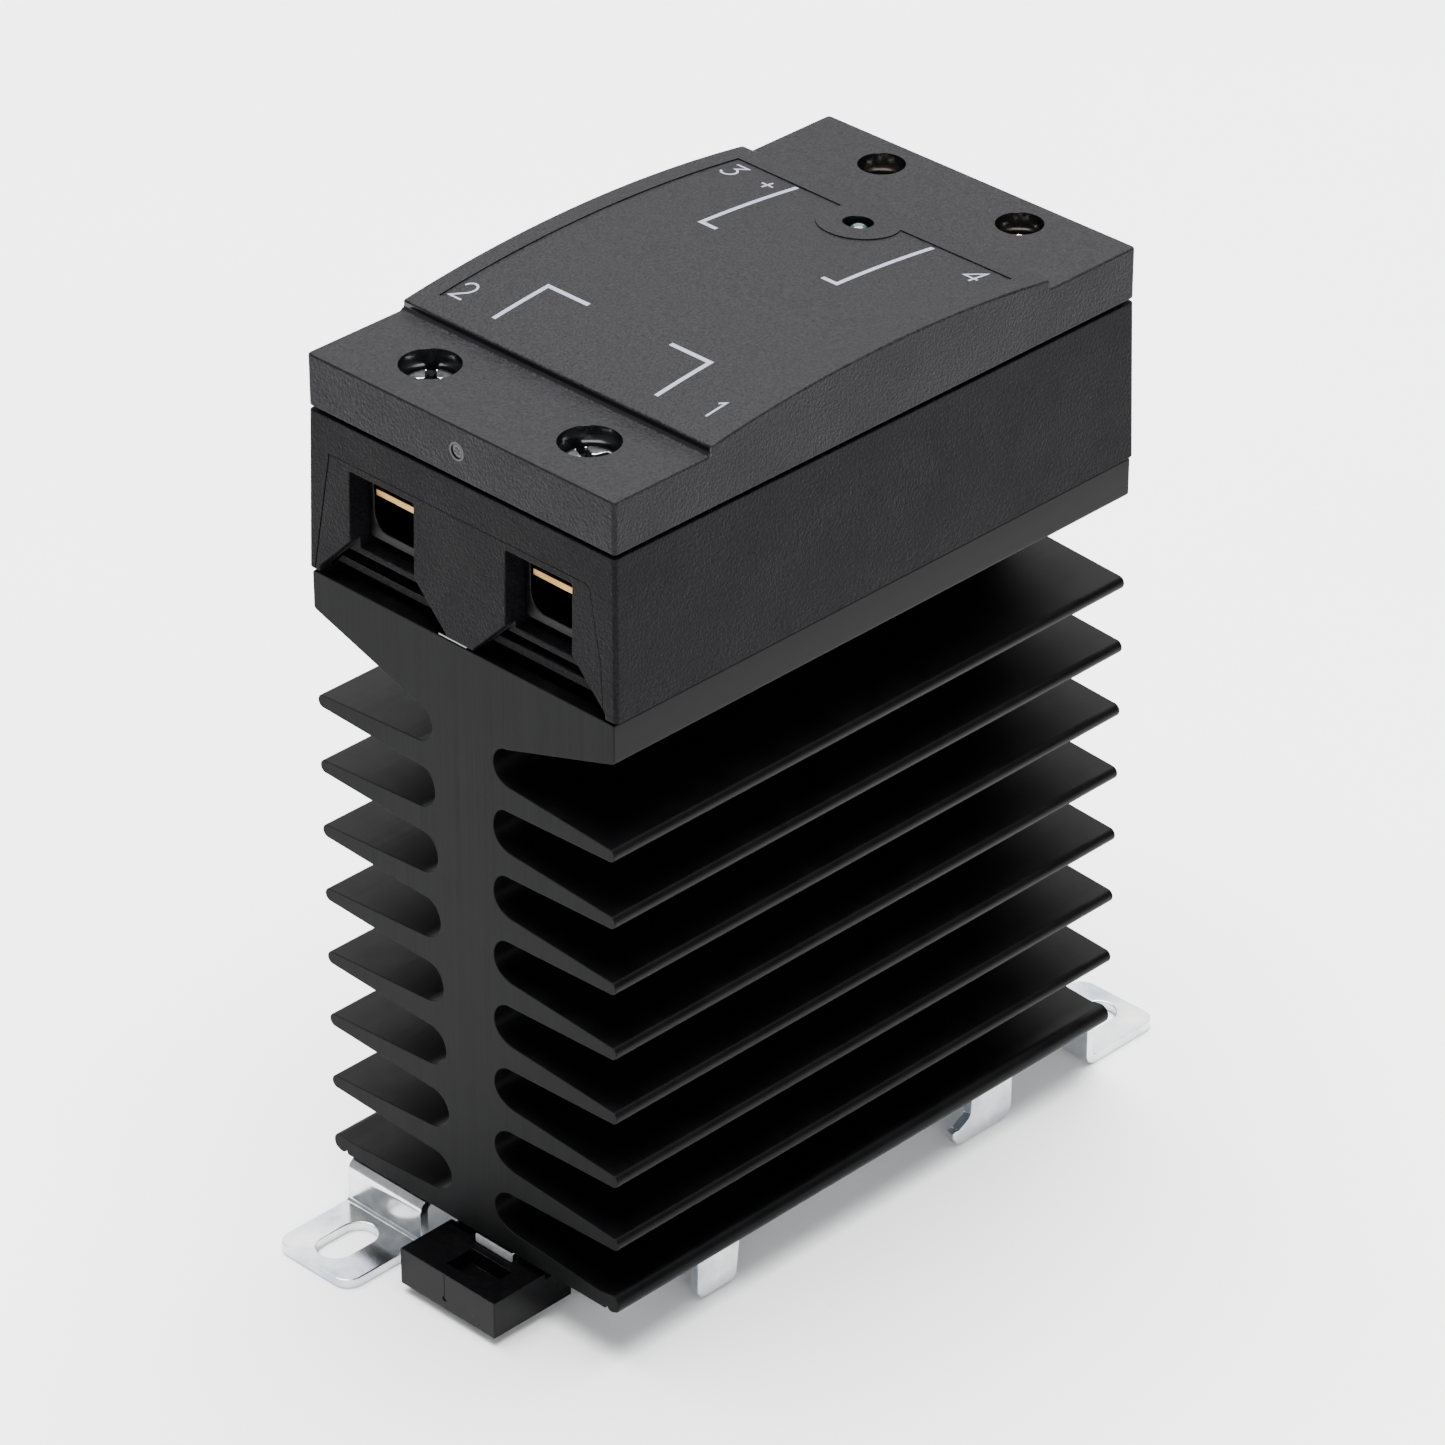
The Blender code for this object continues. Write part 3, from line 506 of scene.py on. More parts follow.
tools = []
for s in (-1, 1):
    tools.append(box("t", mirror((6.8, 16.4), s), (-38.0, -37.0), (84.9, 94.4)))
    mouth = [(6.8, 94.4), (16.4, 94.4), (16.4, 86.2), (21.2, 81.4), (21.2, 79.0), (2.0, 79.0), (2.0, 80.9), (6.8, 85.7)]
    tools.append(prism("t", [(s * x, z) for x, z in mouth], "Y", -41.0, -37.6))
    upper = [(5.35, 84.05), (18.35, 84.05), (19.4, 83.0), (4.3, 83.0)]
    lower = [(3.15, 81.85), (20.55, 81.85), (21.0, 81.4), (21.0, 80.7), (2.2, 80.7), (2.2, 80.9)]
    for slot in (upper, lower):
        tools.append(prism("t", [(s * x, z) for x, z in slot], "Y", -39.5, -35.2))
for y in (-31.5, 33.4):
    tools += [rod("t", (0, y), 1.8, 79.0, 86.0), rod("t", (0, y), 3.2, 84.8, 101.0)]
combine(housing, *tools)
combine(housing, *[box("t", mirror((18.8, 21.4), s), y, (83.6, 94.7)) for s in (-1, 1)
                   for y in ((-26.8, -23.6), (24.2, 28.0))], how="UNION")
soften(housing, 0.16, 2, 40.0, lambda e: any(abs(v.co.x) > 21.5 or abs(v.co.y) > 36.9 or v.co.z > 99.4 for v in e.verts))
frame_line = [(-19.4, 95.3)] + [(18.0 + 1.1 * sin(radians(a)), 94.2 + 1.1 * cos(radians(a)))
                                for a in range(0, 91, 15)] + [(20.6, 87.1), (21.1, 80.0)]
combine(housing, face_groove("t", frame_line, -1, 0.09, 0.05))
combine(housing, face_groove("t", [(-22.05, 80.0), (-19.4, 95.34)], -1, 0.17, 0.12))
rear_line = [(-21.1, 80.0), (-19.6, 94.6), (19.6, 94.6), (21.1, 80.0)]
combine(housing, face_groove("t", rear_line, 1, 0.16, 0.11))
done(housing, HOUSING, "relay", "housing_plastic", "relay_housing")

# =====================================================================================
# Cover
# =====================================================================================
DOME_STEP, DOME_RISE, DOME_END = 107.06, 1.84, 25.2
ARCH_R = (DOME_END ** 2 + DOME_RISE ** 2) / (2 * DOME_RISE)
ARCH_Z = DOME_STEP + DOME_RISE - ARCH_R
LAMP = (0.0, 19.8)
SUNK = 0.15


def dome(y):
    return ARCH_Z + sqrt(ARCH_R ** 2 - y * y)


def dome_line(n, drop=0.0, end=DOME_END):
    return [(end * (i / (n / 2) - 1), dome(end * (i / (n / 2) - 1)) - drop) for i in range(n + 1)]


section = [(-38.75, 99.9), (-38.75, 106.0), (-25.52, 106.0), (-25.46, 106.16), (-25.3, 106.16), (-DOME_END, 106.2)] + dome_line(48) + \
          [(DOME_END, 106.0), (38.75, 106.0), (38.75, 99.9)]
cover = prism("cover_shell", section, "X", -23.0, 23.0)
combine(cover, prism("t", rounded(22.5, 38.75, 0.5), "Z", 99.0, 110.0), how="INTERSECT")
combine(cover, box("t", (-20.7, 20.7), (-23.4, 23.4), (98.0, 105.0)),
        *[box("t", (-4.2, 4.2), y, (98.0, 104.0)) for y in ((-37.0, -26.4), (27.0, 37.0))])
soften(cover, 0.26, 3, 33.0, lambda e: any(v.co.z > 105.9 for v in e.verts) or
       all(abs(v.co.z - 99.9) < 1e-3 and (abs(v.co.x) > 21.5 or abs(v.co.y) > 37.5) for v in e.verts))
# the label's field is sunk a little into the arched middle, and leaves a half round land at the lamp
field = [(-20.0, -22.4), (20.0, -22.4), (20.0, 22.0)] + arc(LAMP[0], 22.0, 4.6, 0, -180, 24)[:0] + \
        [(LAMP[0] + 4.6 * cos(radians(a)), LAMP[1] + 4.6 * sin(radians(a))) for a in range(28, -209, -8)] + [(-20.0, 22.0)]
sunk = prism("t", dome_line(60, SUNK, 24.0) + [(24.0, 112.0), (-24.0, 112.0)], "X", -21.0, 21.0)
combine(sunk, prism("t2", field, "Z", 100.0, 113.0), how="INTERSECT")
combine(cover, sunk)
tools = []
for s in (-1, 1):
    tools += [lathe("t", [(0, 98.0), (2.3, 98.0), (2.3, 101.3), (3.3, 101.3), (3.3, 105.9), (3.36, 106.01),
                          (3.4, 108.0), (0, 108.0)], (s * 11.65, -31.5, 0), 56),
              lathe("t", [(0, 98.0), (1.8, 98.0), (1.8, 101.6), (2.6, 101.6), (2.6, 105.9), (2.66, 106.01),
                          (2.7, 108.0), (0, 108.0)], (s * 10.1, 34.05, 0), 48)]
lamp_top = dome(LAMP[1])
tools.append(lathe("t", [(0, 104.0), (1.65, 104.0), (1.65, lamp_top - 0.12), (1.78, lamp_top + 0.2), (1.9, 111.0), (0, 111.0)],
                   (*LAMP, 0), 48))
# gate mark on the front face: a shallow ring round a rough middle
tools.append(prism("t", [(-0.18 + 0.78 * cos(a * pi / 20), 103.05 + 0.78 * sin(a * pi / 20)) for a in range(40)], "Y",
                   -40.0, -38.62))
combine(cover, *tools)
SCREW_WELLS = [(s * 0.01165, -0.0315, 0.0036) for s in (-1, 1)] + [(s * 0.0101, 0.03405, 0.0029) for s in (-1, 1)]


def well_walls_and_shaded_step(p):
    """True on the smooth walls of the four screw wells and the lamp hole, and on the face of the step, where the darker
    smooth plastic is painted shade for the step's groove.
    """
    c = p.center
    return (any(hypot(c.x - x, c.y - y) < r and abs(p.normal.z) < 0.5 for x, y, r in SCREW_WELLS + [(0.0, 0.0198, 0.0018)])
            or (-0.02556 < c.y < -0.02510 and 0.10595 < c.z < 0.10694) or (-0.001 < c.x < 0.0007 and -0.0387 < c.y < -0.0386))


# the face of the cover's step takes the darker smooth plastic as painted shade
done(cover, COVER, "relay", "cover_plastic", "top_cover", mats=(SMOOTH_PLASTIC_AND_STEP_SHADE, well_walls_and_shaded_step))
# the mark that the gate left: a paler raised rim round a rough little scar
mark = lathe("cover_gate_mark", [(0.80, -0.06), (0.80, 0.012), (0.86, 0.035), (1.02, 0.04), (1.10, 0.02), (1.13, -0.06)], steps=48)
bm = bmesh.new()
bm.from_mesh(mark.data)
ends = [e for e in bm.edges if len(e.link_faces) == 1]
bmesh.ops.bridge_loops(bm, edges=ends)
for cx, cz, r, h in ((-0.18, 0.2, 0.2, 0.05), (0.16, 0.05, 0.16, 0.045), (0.02, -0.28, 0.22, 0.04), (0.3, -0.3, 0.1, 0.03),
                     (-0.36, -0.12, 0.13, 0.04)):
    bmesh.ops.create_icosphere(bm, subdivisions=2, radius=r, matrix=Matrix.Translation((cx, cz, -0.12)) @ Matrix.Diagonal((1, 1, h / r * 3.2, 1)))
bmesh.ops.rotate(bm, verts=bm.verts[:], matrix=Matrix.Rotation(pi / 2, 3, "X"))
bmesh.ops.translate(bm, verts=bm.verts[:], vec=(-0.18, -38.72, 103.05))
bm.to_mesh(mark.data)
bm.free()
done(mark, SCUFF, "relay", "cover_plastic", weighted=False)


# ---- printed lines and digits on the label's field ----------------------------------
def stroke(bm, pts, width, round_ends=False):
    """Adds one printed line that follows the arched field: a thin closed ribbon with mitred corners."""
    fine = [Vector(pts[0])]
    for a, b in zip(pts, pts[1:]):
        a, b = Vector(a), Vector(b)
        k = max(1, int((b - a).length / 0.9))
        fine += [a.lerp(b, i / k) for i in range(1, k + 1)]
    n = len(fine)
    rows = []
    for i, p in enumerate(fine):
        d0 = (p - fine[i - 1]).normalized() if i else (fine[1] - p).normalized()
        d1 = (fine[i + 1] - p).normalized() if i < n - 1 else d0
        t = (d0 + d1).normalized()
        nrm = Vector((-t.y, t.x))
        w = width / 2 / max(0.45, Vector((-d0.y, d0.x)).dot(nrm))
        rows.append((p + nrm * w, p - nrm * w))
    outline = [r[0] for r in rows] + ([rows[-1][0].lerp(rows[-1][1], 0.5) + (fine[-1] - fine[-2]).normalized() * width / 2]
                                      if round_ends else []) + [r[1] for r in reversed(rows)] + \
        ([rows[0][0].lerp(rows[0][1], 0.5) + (fine[0] - fine[1]).normalized() * width / 2] if round_ends else [])

    def lift(p, up):
        return (p.x, p.y, dome(p.y) - SUNK + up)

    top = [(bm.verts.new(lift(a, 0.018)), bm.verts.new(lift(b, 0.018))) for a, b in rows]
    low = [(bm.verts.new(lift(a, -0.02)), bm.verts.new(lift(b, -0.02))) for a, b in rows]
    for i in range(n - 1):
        bm.faces.new((top[i][0], top[i + 1][0], top[i + 1][1], top[i][1]))
        bm.faces.new((low[i][0], low[i][1], low[i + 1][1], low[i + 1][0]))
        for k in (0, 1):
            bm.faces.new((top[i][k], low[i][k], low[i + 1][k], top[i + 1][k]))
    for i in (0, n - 1):
        bm.faces.new((top[i][0], top[i][1], low[i][1], low[i][0]))


def printed(name, lines, width):
    bm = bmesh.new()
    for line in lines:
        stroke(bm, line, width)
    ob = make(name, bm)
    return done(ob, PRINT, "relay", "cover_plastic", weighted=False)


printed("print_input_bracket_left", [[(-10.66, 21.5), (-10.66, 6.9), (-8.4, 6.9)]], 0.55)
printed("print_input_bracket_right", [[(9.27, 21.4), (9.27, 6.75), (7.2, 6.75)]], 0.55)
printed("print_output_bracket_left", [[(-12.3, -21.9), (-12.3, -14.0), (-6.3, -14.0)]], 0.55)
printed("print_output_bracket_right", [[(5.76, -14.1), (11.45, -14.1), (11.45, -21.9)]], 0.55)


def at(x, y, pts, k=0.93):
    return [(x + a * k * 0.92, y + b * k) for a, b in pts]


DIGITS = {
    "1": [[(-0.55, 1.0), (0.15, 1.6), (0.15, -1.6)]],
    "2": [[(-1.0, 0.85)] + arc(0, 0.72, 0.95, 165, -20, 8) + [(0.62, -0.15), (-1.0, -1.6), (1.05, -1.6)]],
    "3": [[(-1.0, 1.6), (1.0, 1.6), (-0.05, 0.38)] + arc(-0.05, -0.62, 1.02, 75, -150, 9)],
    "4": [[(0.5, -1.6), (0.5, 1.6), (-1.1, -0.7), (1.1, -0.7)]],
    "+": [[(-0.95, 0), (0.95, 0)], [(0, 0.16), (0, 0.95)], [(0, -0.16), (0, -0.95)]],
}
printed("print_digit_3", [at(-18.1, 19.3, p) for p in DIGITS["3"]], 0.27)
printed("print_plus", [at(-13.0, 19.3, p) for p in DIGITS["+"]], 0.26)
printed("print_digit_4", [at(17.05, 19.5, p) for p in DIGITS["4"]], 0.27)
printed("print_digit_2", [at(-18.5, -20.0, p) for p in DIGITS["2"]], 0.27)
printed("print_digit_1", [at(18.0, -20.0, p) for p in DIGITS["1"]], 0.27)

# ---- lamp ---------------------------------------------------------------------------
lens = lathe("lamp_light_pipe", [(0, 98.5), (1.0, 98.5), (1.0, 106.86)] +
             [(1.0 * cos(radians(a)), 106.86 + 0.62 * sin(radians(a))) for a in (15, 30, 45, 60, 75)] + [(0, 107.48)],
             (*LAMP, 0), 40)
done(lens, LENS, "relay", "lamp_lens", "light_pipe", weighted=False)


# =====================================================================================
# Screws, cages and blades
# =====================================================================================
def clamp_screw(name, at_, head_r, head_h, shank_r, length, pitch, mat, body, slot, turn):
    """A pan head clamp screw with a cross recess and a slot in its head and a threaded shank."""
    prof = [(0, -length), (shank_r * 0.66, -length)]
    z = -length + 0.5
    top = -1.0
    k = int((top - z) / pitch)
    for i in range(k):
        prof += [(shank_r * 0.86, z + i * pitch), (shank_r, z + (i + 0.42) * pitch), (shank_r, z + (i + 0.58) * pitch)]
    prof += [(shank_r * 0.86, z + k * pitch), (shank_r, -0.6), (shank_r, -0.02), (head_r * 0.97, -0.0), (head_r, 0.12),
             (head_r, head_h * 0.72), (head_r * 0.985, head_h * 0.83), (head_r * 0.94, head_h * 0.92),
             (head_r * 0.86, head_h * 0.98), (head_r * 0.76, head_h), (0, head_h)]
    ob = lathe(name, prof, at_, 56)
    w = head_r * 0.19
    tools_ = []
    for a in (0, 90):
        t = loft("t", [(-head_r * 0.34, -w * 0.7), (head_r * 0.34, -w * 0.7), (head_r * 0.34, w * 0.7), (-head_r * 0.34, w * 0.7)],
                 [(-head_r * 0.78, -w), (head_r * 0.78, -w), (head_r * 0.78, w), (-head_r * 0.78, w)], head_h * 0.1, head_h + 0.02)
        t.data.transform(Matrix.Rotation(radians(a + turn), 4, "Z"))
        t.data.transform(Matrix.Translation(at_))
        tools_.append(t)
    cone = lathe("t", [(0, head_h * 0.30), (w * 1.3, head_h * 0.45), (head_r * 0.34, head_h + 0.02), (0, head_h + 0.02)], at_, 24)
    combine(ob, *tools_, cone)
    slot_cut = box("t", (-head_r * 1.1, head_r * 1.1), (-w * 0.8, w * 0.8), (head_h * 0.55, head_h + 1))
    slot_cut.data.transform(Matrix.Rotation(radians(turn), 4, "Z"))
    slot_cut.data.transform(Matrix.Translation(at_))
    combine(ob, slot_cut)
    soften(ob, 0.06, 1, 42.0, lambda e: min(v.co.z for v in e.verts) > at_[2] + head_h * 0.45)
    floor_z = (at_[2] + head_h * 0.93) / 1000

    def recess(p):
        """True inside the drive recess, which is coloured near black steel as painted shade."""
        r = hypot(p.center.x - at_[0] / 1000, p.center.y - at_[1] / 1000)
        return p.center.z > at_[2] / 1000 + 1e-5 and r < head_r * 0.00098 and (p.center.z < floor_z) and \
            (r < head_r * 0.00078 or abs(p.normal.z) > 0.9)

    # the drive recess takes near black steel as painted shade
    return done(ob, mat, body, slot, name.replace("clamp_", ""), sharp=40, mats=(SCREW_RECESS_SHADE, recess))


for side, s in (("left", -1), ("right", 1)):
    clamp_screw(f"clamp_output_screw_{side}", (s * 11.65, -31.5, 101.6), 3.1, 2.4, 2.0, 9.0, 0.7, SCREW,
                f"output_screw_{side}", "screw_steel", -45 if s < 0 else -22)
    clamp_screw(f"clamp_input_screw_{side}", (s * 10.1, 34.05, 101.9), 2.2, 1.9, 1.5, 8.8, 0.5, NICKEL,
                f"input_screw_{side}", "nickel_screw", 12 if s < 0 else 35)


def strip_cage(name, at_, half_w, wall, y, floor, roof, r_screw, body, node):
    hole_half = half_w - wall
    outer = [(-half_w, floor[0] + 0.6)] + arc(-half_w + 0.6, floor[0] + 0.6, 0.6, 180, 270, 6)[1:] + \
        arc(half_w - 0.6, floor[0] + 0.6, 0.6, 270, 360, 6) + arc(half_w - 0.5, roof[0] - 0.5, 0.5, 0, 90, 5) + \
        arc(-half_w + 0.5, roof[0] - 0.5, 0.5, 90, 180, 5)
    ob = prism(name, outer, "Y", *y)
    r = 1.9
    inner = arc(-hole_half + r, floor[1] + r, r, 180, 270, 14) + arc(hole_half - r, floor[1] + r, r, 270, 360, 14) + \
        [(hole_half, roof[1]), (-hole_half, roof[1])]
    combine(ob, prism("t", inner, "Y", y[0] - 2, y[1] + 2))
    combine(ob, rod("t", (0, 0), r_screw, roof[1] - 1, roof[0] + 1, steps=32))
    ob.data.transform(Matrix.Translation(at_))
    soften(ob, 0.14, 2, 40.0)
    front = (at_[1] + y[0]) / 1000 if at_[1] < 0 else (at_[1] + y[1]) / 1000
    cx, cz0, cz1 = at_[0] / 1000, (at_[2] + floor[1]) / 1000, (at_[2] + roof[1]) / 1000

    def rim(p):
        """True on the rounded edge of the opening, which takes a brighter steel as a painted highlight."""
        c, n_ = p.center, p.normal
        return (abs(c.y - front) < 0.00016 and 0.12 < abs(n_.y) < 0.75 and abs(c.x - cx) < (hole_half + 0.16) / 1000
                and cz0 - 0.00016 < c.z < cz1 + 0.0001)

    # the cage is painted shade in near black steel, and the rim of its opening is a painted highlight
    return done(ob, SHADED_CAGE, body, "cage_steel", node, mats=(CAGE_RIM_HIGHLIGHT, rim))


for side, s in (("left", -1), ("right", 1)):
    strip_cage(f"cage_output_{side}", (s * 11.65, -31.5, 86.05), 4.45, 0.75, (-5.0, 3.7), (0.0, 1.1), (9.6, 8.2), 2.3,
               f"output_cage_{side}", f"output_cage_{side}")
    strip_cage(f"cage_input_{side}", (s * 10.1, 34.05, 87.4), 3.8, 0.9, (-4.2, 2.7), (0.0, 1.0), (7.7, 6.5), 1.8,
               f"input_cage_{side}", f"input_cage_{side}")
    blade = [(-36.9, 91.6), (-36.9, 92.4), (-22.5, 92.4), (-22.1, 92.0), (-22.1, 84.9), (-12.2, 84.9), (-12.2, 84.1),
             (-22.9, 84.1), (-22.9, 91.6)]
    ob = prism(f"blade_output_{side}", blade, "X", *mirror((8.75, 14.55), s))
    soften(ob, 0.12, 2, 40.0)
    done(ob, BRASS, "relay", "brass_blade", f"output_blade_{side}")
    ob = prism(f"blade_input_{side}", [(37.0, 91.9), (37.0, 92.7), (25.0, 92.7), (25.0, 94.7), (24.2, 94.7), (24.2, 91.9)],
               "X", *mirror((7.6, 12.6), s))
    soften(ob, 0.12, 2, 40.0)
    done(ob, BRASS, "relay", "brass_blade", f"input_blade_{side}")


# =====================================================================================
# Bracket, its screws, the latch and its spring
# =====================================================================================
def bent(points, radii, t, n=12):
    left, right = [], []

    def add(p, d):
        left.append((p[0] - d[1] * t / 2, p[1] + d[0] * t / 2))
        right.append((p[0] + d[1] * t / 2, p[1] - d[0] * t / 2))

    def unit(a, b):
        length = hypot(b[0] - a[0], b[1] - a[1])
        return (b[0] - a[0]) / length, (b[1] - a[1]) / length

    for i, p in enumerate(points):
        if i in (0, len(points) - 1):
            add(p, unit(p, points[1]) if i == 0 else unit(points[i - 1], p))
            continue
        d0, d1 = unit(points[i - 1], p), unit(p, points[i + 1])
        turn = atan2(d0[0] * d1[1] - d0[1] * d1[0], d0[0] * d1[0] + d0[1] * d1[1])
        back_ = radii[i] * abs(sin(turn / 2) / cos(turn / 2))
        start = (p[0] - d0[0] * back_, p[1] - d0[1] * back_)
        sgn = 1 if turn > 0 else -1
        c = (start[0] - d0[1] * radii[i] * sgn, start[1] + d0[0] * radii[i] * sgn)
        a0 = atan2(start[1] - c[1], start[0] - c[0])
        for k in range(n + 1):
            a = a0 + turn * k / n
            add((c[0] + radii[i] * cos(a), c[1] + radii[i] * sin(a)), (-sin(a) * sgn, cos(a) * sgn))
    return left + right[::-1]


plate = box("bracket_plate", (-20.2, 20.2), (-36.6, 36.6), (5.3, 6.5))
foot_side = bent([(-34.0, 5.9), (-38.8, 5.9), (-38.8, 0.6), (-50.4, 0.6)], [0, 1.1, 1.1, 0], 1.2)
tab = [(-25.0, 6.0), (-25.0, 1.3)] + [(-24.3 + 0.0, 0.4), (-19.6, 0.4), (-19.0, 1.0), (-18.4, 6.0)]
hook = [(25.3, 6.0), (25.3, 1.6), (25.0, 0.8), (24.2, 0.2), (23.4, 0.0), (17.3, 0.0), (16.2, 0.5), (15.6, 1.4), (15.65, 2.1),
        (16.1, 2.25), (16.6, 2.15), (18.2, 3.0), (18.5, 3.5), (18.6, 6.0)]
parts_ = []
for s in (-1, 1):
    parts_.append(prism("t", [(s * y, z) for y, z in foot_side], "X", *((-20.0, -8.2) if s > 0 else (8.2, 20.0))))
combine(plate, *parts_, how="UNION")
parts_ = []
for s in (-1, 1):
    parts_ += [prism("t", tab, "X", *mirror((19.0, 20.2), s)), prism("t", hook, "X", *mirror((19.0, 20.2), s))]
parts_ += [box("t", (0.1, 5.8), (-39.05, -36.0), (5.3, 6.5)), box("t", (1.4, 4.3), (-36.2, -35.2), (2.6, 6.0))]
for s, edge in ((-1, -4.5), (1, 10.2)):
    leg = sorted((edge + s * 0.3, edge + s * 1.5))
    lip = sorted((edge - s * 1.4, edge + s * 1.5))
    parts_ += [box("t", leg, (-34.0, -25.0), (2.0, 6.0)), box("t", lip, (-34.0, -25.0), (2.0, 3.2))]
combine(plate, *parts_, how="UNION")
tools = []
for s in (-1, 1):
    cx, cy = s * -14.3, s * -44.8
    tools.append(prism("t", arc(cx, cy + 1.65, 2.2, 0, 180, 22) + arc(cx, cy - 1.65, 2.2, 180, 360, 22), "Z", -1.0, 3.0))
    for x, d in ((-20.0, 1), (-8.2, -1)):
        r = 2.0
        ccx, ccy = x + d * r, -50.4 + r
        corner = [(x - d, -51.4), (x - d, ccy)] + [(ccx - d * r * cos(radians(a)), ccy - r * sin(radians(a)))
                                                   for a in range(0, 91, 9)] + [(ccx, -51.4)]
        tools.append(prism("t", [(s * px, s * py) for px, py in corner], "Z", -1.0, 3.0))
    tools.append(rod("t", (-s * 10.5, -s * 22.0), 2.3, 4.0, 8.0))
combine(plate, *tools)
soften(plate, 0.17, 2, 40.0)
done(plate, ZINC, "relay", "zinc_steel", "din_bracket", sharp=34,
     mats=(SHEARED, lambda p: p.center.y < -0.03880 and 0.0 < p.center.x < 0.0059 and p.center.z > 0.0052))


def under_screw(name, at_, node):
    r, h, shank, length = 3.4, 2.1, 1.7, 3.6
    prof = [(0, length), (shank - 0.4, length), (shank, length - 0.4), (shank, 0.0), (r * 0.97, 0.0), (r, -0.12), (r, -h * 0.5),
            (r * 0.96, -h * 0.7), (r * 0.86, -h * 0.88), (r * 0.66, -h), (0, -h)]
    ob = lathe(name, prof, at_, 56)
    tools_ = []
    for a in (0, 90):
        t = loft("t", [(-2.1, -0.5), (2.1, -0.5), (2.1, 0.5), (-2.1, 0.5)], [(-1.2, -0.35), (1.2, -0.35), (1.2, 0.35), (-1.2, 0.35)],
                 -h - 0.02, -h * 0.35)
        t.data.transform(Matrix.Rotation(radians(a + 25), 4, "Z"))
        t.data.transform(Matrix.Translation(at_))
        tools_.append(t)
    combine(ob, *tools_)
    soften(ob, 0.06, 1, 42.0, lambda e: max(v.co.z for v in e.verts) < at_[2] - 0.8)
    return done(ob, SCREW, "relay", "screw_steel", node, sharp=40)


under_screw("bracket_fixing_front", (-10.5, -22.0, 5.0), "bracket_screw_front")
under_screw("bracket_fixing_rear", (10.5, 22.0, 5.0), "bracket_screw_rear")

LX = (-4.5, 10.2)
latch = box("latch_slide", LX, (-45.9, -38.2), (1.05, 5.7))
nose = [(-39.0, 1.05), (-15.6, 1.05), (-14.0, 2.4), (-14.0, 3.4), (-15.2, 4.0), (-17.0, 4.0), (-17.0, 5.0), (-39.0, 5.0)]
combine(latch, prism("t", nose, "X", *LX), how="UNION")
tools = []
for s, edge in ((-1, LX[0]), (1, LX[1])):
    tools.append(box("t", sorted((edge - s * 1.7, edge + s * 1.0)), (-34.35, -13.0), (0.0, 3.5)))
tools += [box("t", (-0.2, 6.1), (-39.4, -37.0), (4.9, 7.0)), box("t", (0.45, 5.25), (-36.5, -24.0), (2.2, 7.0))]
combine(latch, *tools)
combine(latch, box("t", (1.1, 7.3), (-44.2, -40.5), (3.7, 7.0)))
soften(latch, 0.14, 2, 40.0)
combine(latch, rod("t", (2.45, 2.45), 0.34, -47.0, -45.78, "Y", 20), box("t", (2.39, 2.51), (-47.0, -45.86), (2.7, 5.56)))
done(latch, LATCH, "din_latch", "latch_plastic", "din_latch")

# the spring: a coil between the bracket's tab and the latch's pocket; the real one shortens as the latch is drawn out,
# but this mesh is built at one fixed length
bm = bmesh.new()
turns, wire, coil, per, around = 9, 0.2, 1.0, 28, 8
steps = turns * per
rings = []
for i in range(steps + 1):
    u = i / steps
    y = -34.7 + 10.2 * (u if 0.1 < u < 0.9 else (u * 0.5 + 0.05 if u <= 0.1 else 0.95 - (1 - u) * 0.5))
    a = 2 * pi * i / per
    c = Vector((2.85 + coil * cos(a), y, 3.6 + coil * sin(a)))
    out = Vector((cos(a), 0, sin(a)))
    rings.append([bm.verts.new(c + out * wire * cos(2 * pi * k / around) + Vector((0, wire * sin(2 * pi * k / around), 0)))
                  for k in range(around)])
for a, b in zip(rings, rings[1:]):
    for k in range(around):
        bm.faces.new((a[k], a[(k + 1) % around], b[(k + 1) % around], b[k]))
bm.faces.new(rings[0])
bm.faces.new(rings[-1][::-1])
coil_ob = make("latch_return_spring", bm)
done(coil_ob, SPRINGWIRE, "relay", "spring_steel", "latch_spring", weighted=False)
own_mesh(coil_ob)

# =====================================================================================
# Materials of the CAD nodes that stay as they are
# =====================================================================================
KEPT = {
    "heat_spreader": SPREADER, "ceramic_substrate": CERAMIC, "thyristor_left": SILICON, "thyristor_right": SILICON,
    "chip_strap_left": COPPER, "chip_strap_right": COPPER, "gate_pin_left": COPPER, "gate_pin_right": COPPER,
    "circuit_board": BOARD, "optocoupler": EPOXY, "current_regulator": EPOXY, "input_resistor": RESISTOR,
    "gate_resistor": RESISTOR, "snubber_resistor": RESISTOR, "snubber_capacitor": FILM, "surge_suppressor": VARISTOR,
    "status_led": LENS, "housing_screw_front": SCREW, "housing_screw_rear": SCREW,
}
FALLBACK = {
    "heatsink": SKIN, "relay_housing": HOUSING, "top_cover": COVER, "output_blade_left": BRASS, "output_blade_right": BRASS,
    "input_blade_left": BRASS, "input_blade_right": BRASS, "light_pipe": LENS, "output_screw_left": SCREW,
    "output_screw_right": SCREW, "input_screw_left": NICKEL, "input_screw_right": NICKEL, "output_cage_left": SHADED_CAGE,
    "output_cage_right": SHADED_CAGE, "input_cage_left": SHADED_CAGE, "input_cage_right": SHADED_CAGE, "din_bracket": ZINC,
    "bracket_screw_front": SCREW, "bracket_screw_rear": SCREW, "din_latch": LATCH, "latch_spring": SPRINGWIRE,
}
for name, mat in {**KEPT, **FALLBACK}.items():
    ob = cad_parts[name]
    if not ob.data.materials:
        ob.data.materials.append(mat)
    for i in range(len(ob.material_slots)):
        ob.material_slots[i].material = mat

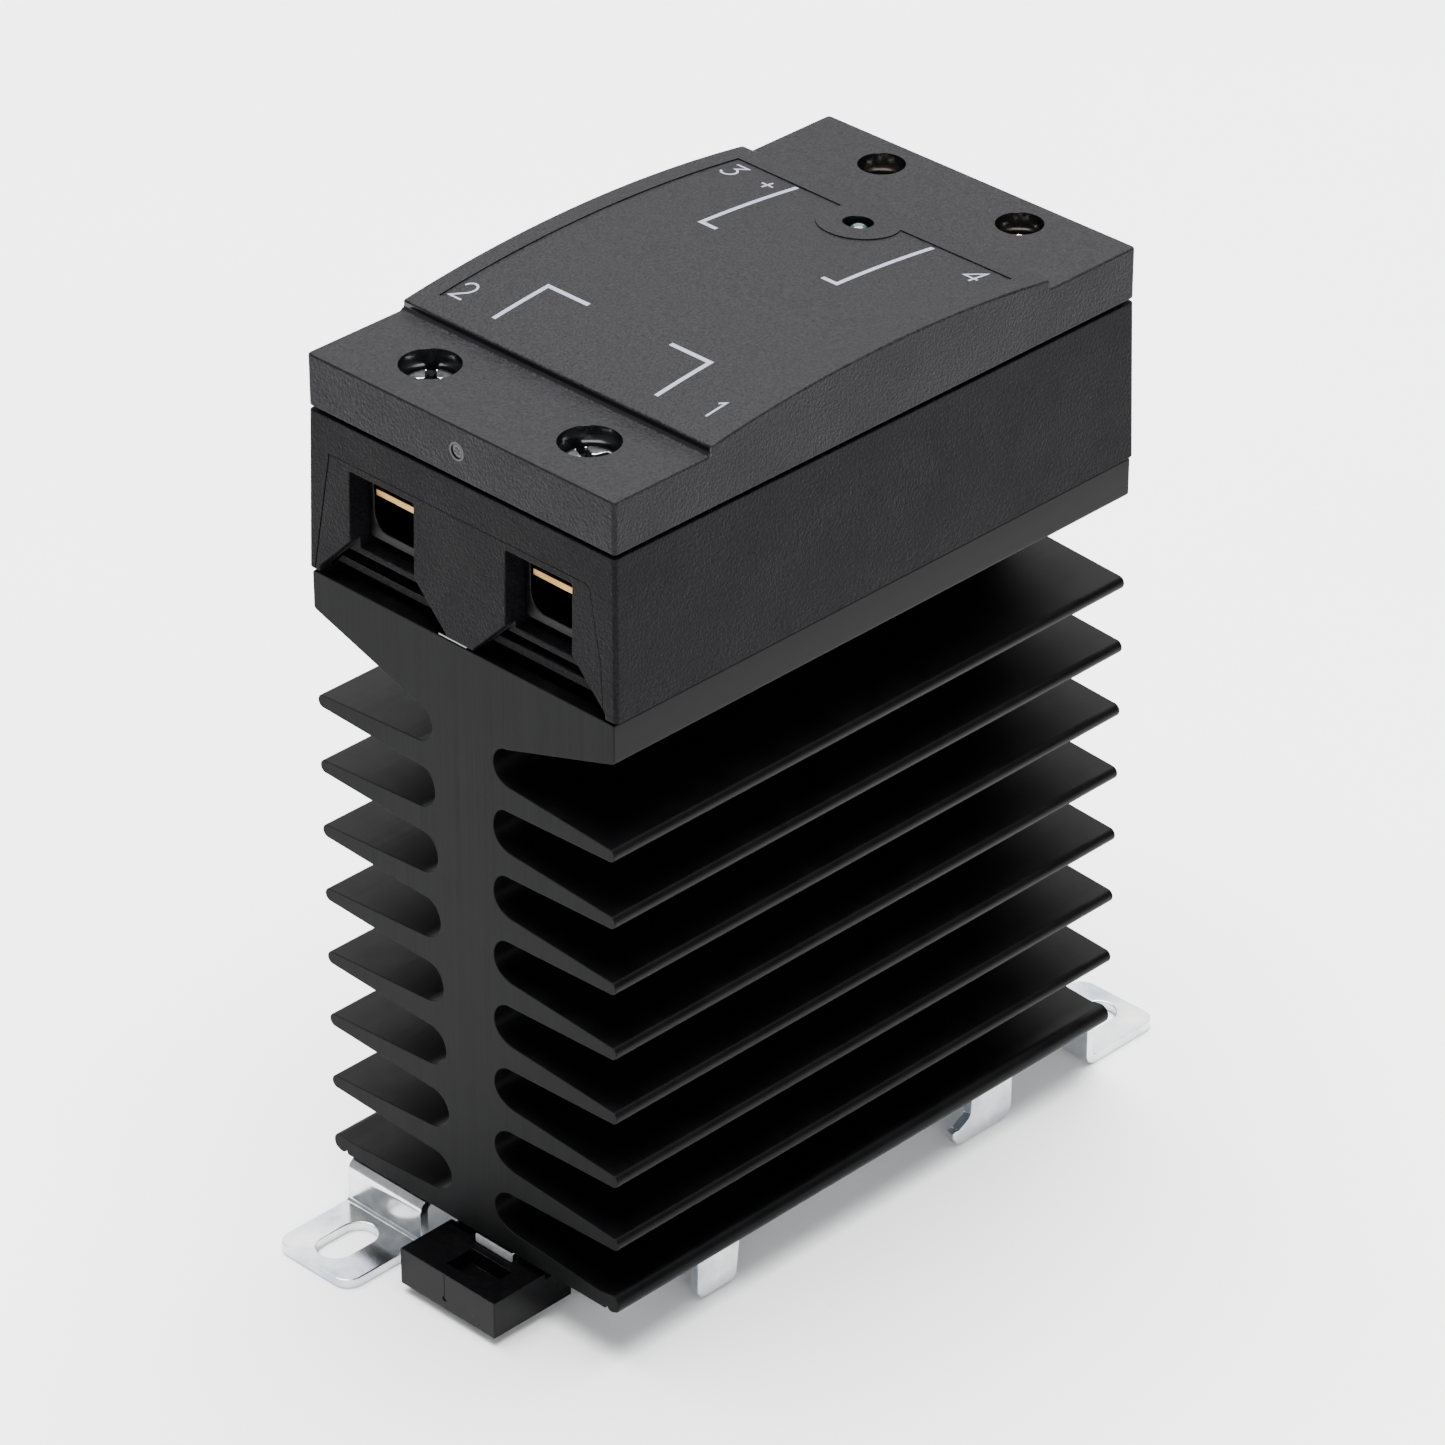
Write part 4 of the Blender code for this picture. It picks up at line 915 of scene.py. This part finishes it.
# =====================================================================================
# Floor, light and camera
# =====================================================================================
k = Nodes("floor_paper", (0.86, 0.86, 0.86), 0.8, spec=0.15)
n = k.noise(14.0, 3.0, 0.5)
k.colour(k.ramp(n, [(0.3, (0.85, 0.85, 0.853)), (0.7, (0.87, 0.87, 0.872))]))
k.bump(k.noise(900.0, 2.0), 2e-5, 0.2)
bm = bmesh.new()
bmesh.ops.create_grid(bm, x_segments=8, y_segments=8, size=4.0)
me = bpy.data.meshes.new("floor")
bm.to_mesh(me)
bm.free()
floor = bpy.data.objects.new("floor", me)
floor.location = (0, 0, 0)
me.materials.append(k.m)
COLL.objects.link(floor)

world = bpy.data.worlds.new("studio")
bpy.context.scene.world = world
world.use_nodes = True
bg = world.node_tree.nodes["Background"]
bg.inputs["Color"].default_value = (0.97, 0.985, 1.0, 1)
bg.inputs["Strength"].default_value = 0.50


def softbox(name, where, aim, size, power, colour=(1, 1, 1)):
    li = bpy.data.lights.new(name, "AREA")
    li.shape = "RECTANGLE"
    li.size, li.size_y = size
    li.energy = power
    li.color = colour
    ob = bpy.data.objects.new(name, li)
    ob.location = where
    ob.rotation_mode = "QUATERNION"
    ob.rotation_quaternion = (Vector(aim) - Vector(where)).to_track_quat("-Z", "Y")
    COLL.objects.link(ob)
    return ob


softbox("key_overhead", (-0.10, 0.10, 1.25), (0, 0, 0.05), (1.2, 1.2), 96.0)
softbox("back_sheen", (-0.80, 0.82, 0.78), (0, 0, 0.09), (1.0, 0.9), 8.0)
softbox("fill_right", (0.85, -0.55, 0.34), (0, 0, 0.06), (0.6, 0.5), 5.0)

cam = bpy.data.cameras.new("camera")
cam.sensor_width = 36.0
cam.lens = 164.13
cam.clip_start, cam.clip_end = 0.02, 50.0
cam_ob = bpy.data.objects.new("camera", cam)
az, el = radians(44.589), radians(31.395)
back = Vector((sin(az) * cos(el), -cos(az) * cos(el), sin(el)))
right = Vector((0, 0, 1)).cross(back).normalized()
up = back.cross(right)
cam_ob.matrix_world = Matrix.Translation((0.426925, -0.433816, 0.425742)) @ Matrix(
    (right, up, back)).transposed().to_4x4()
COLL.objects.link(cam_ob)
bpy.context.scene.camera = cam_ob
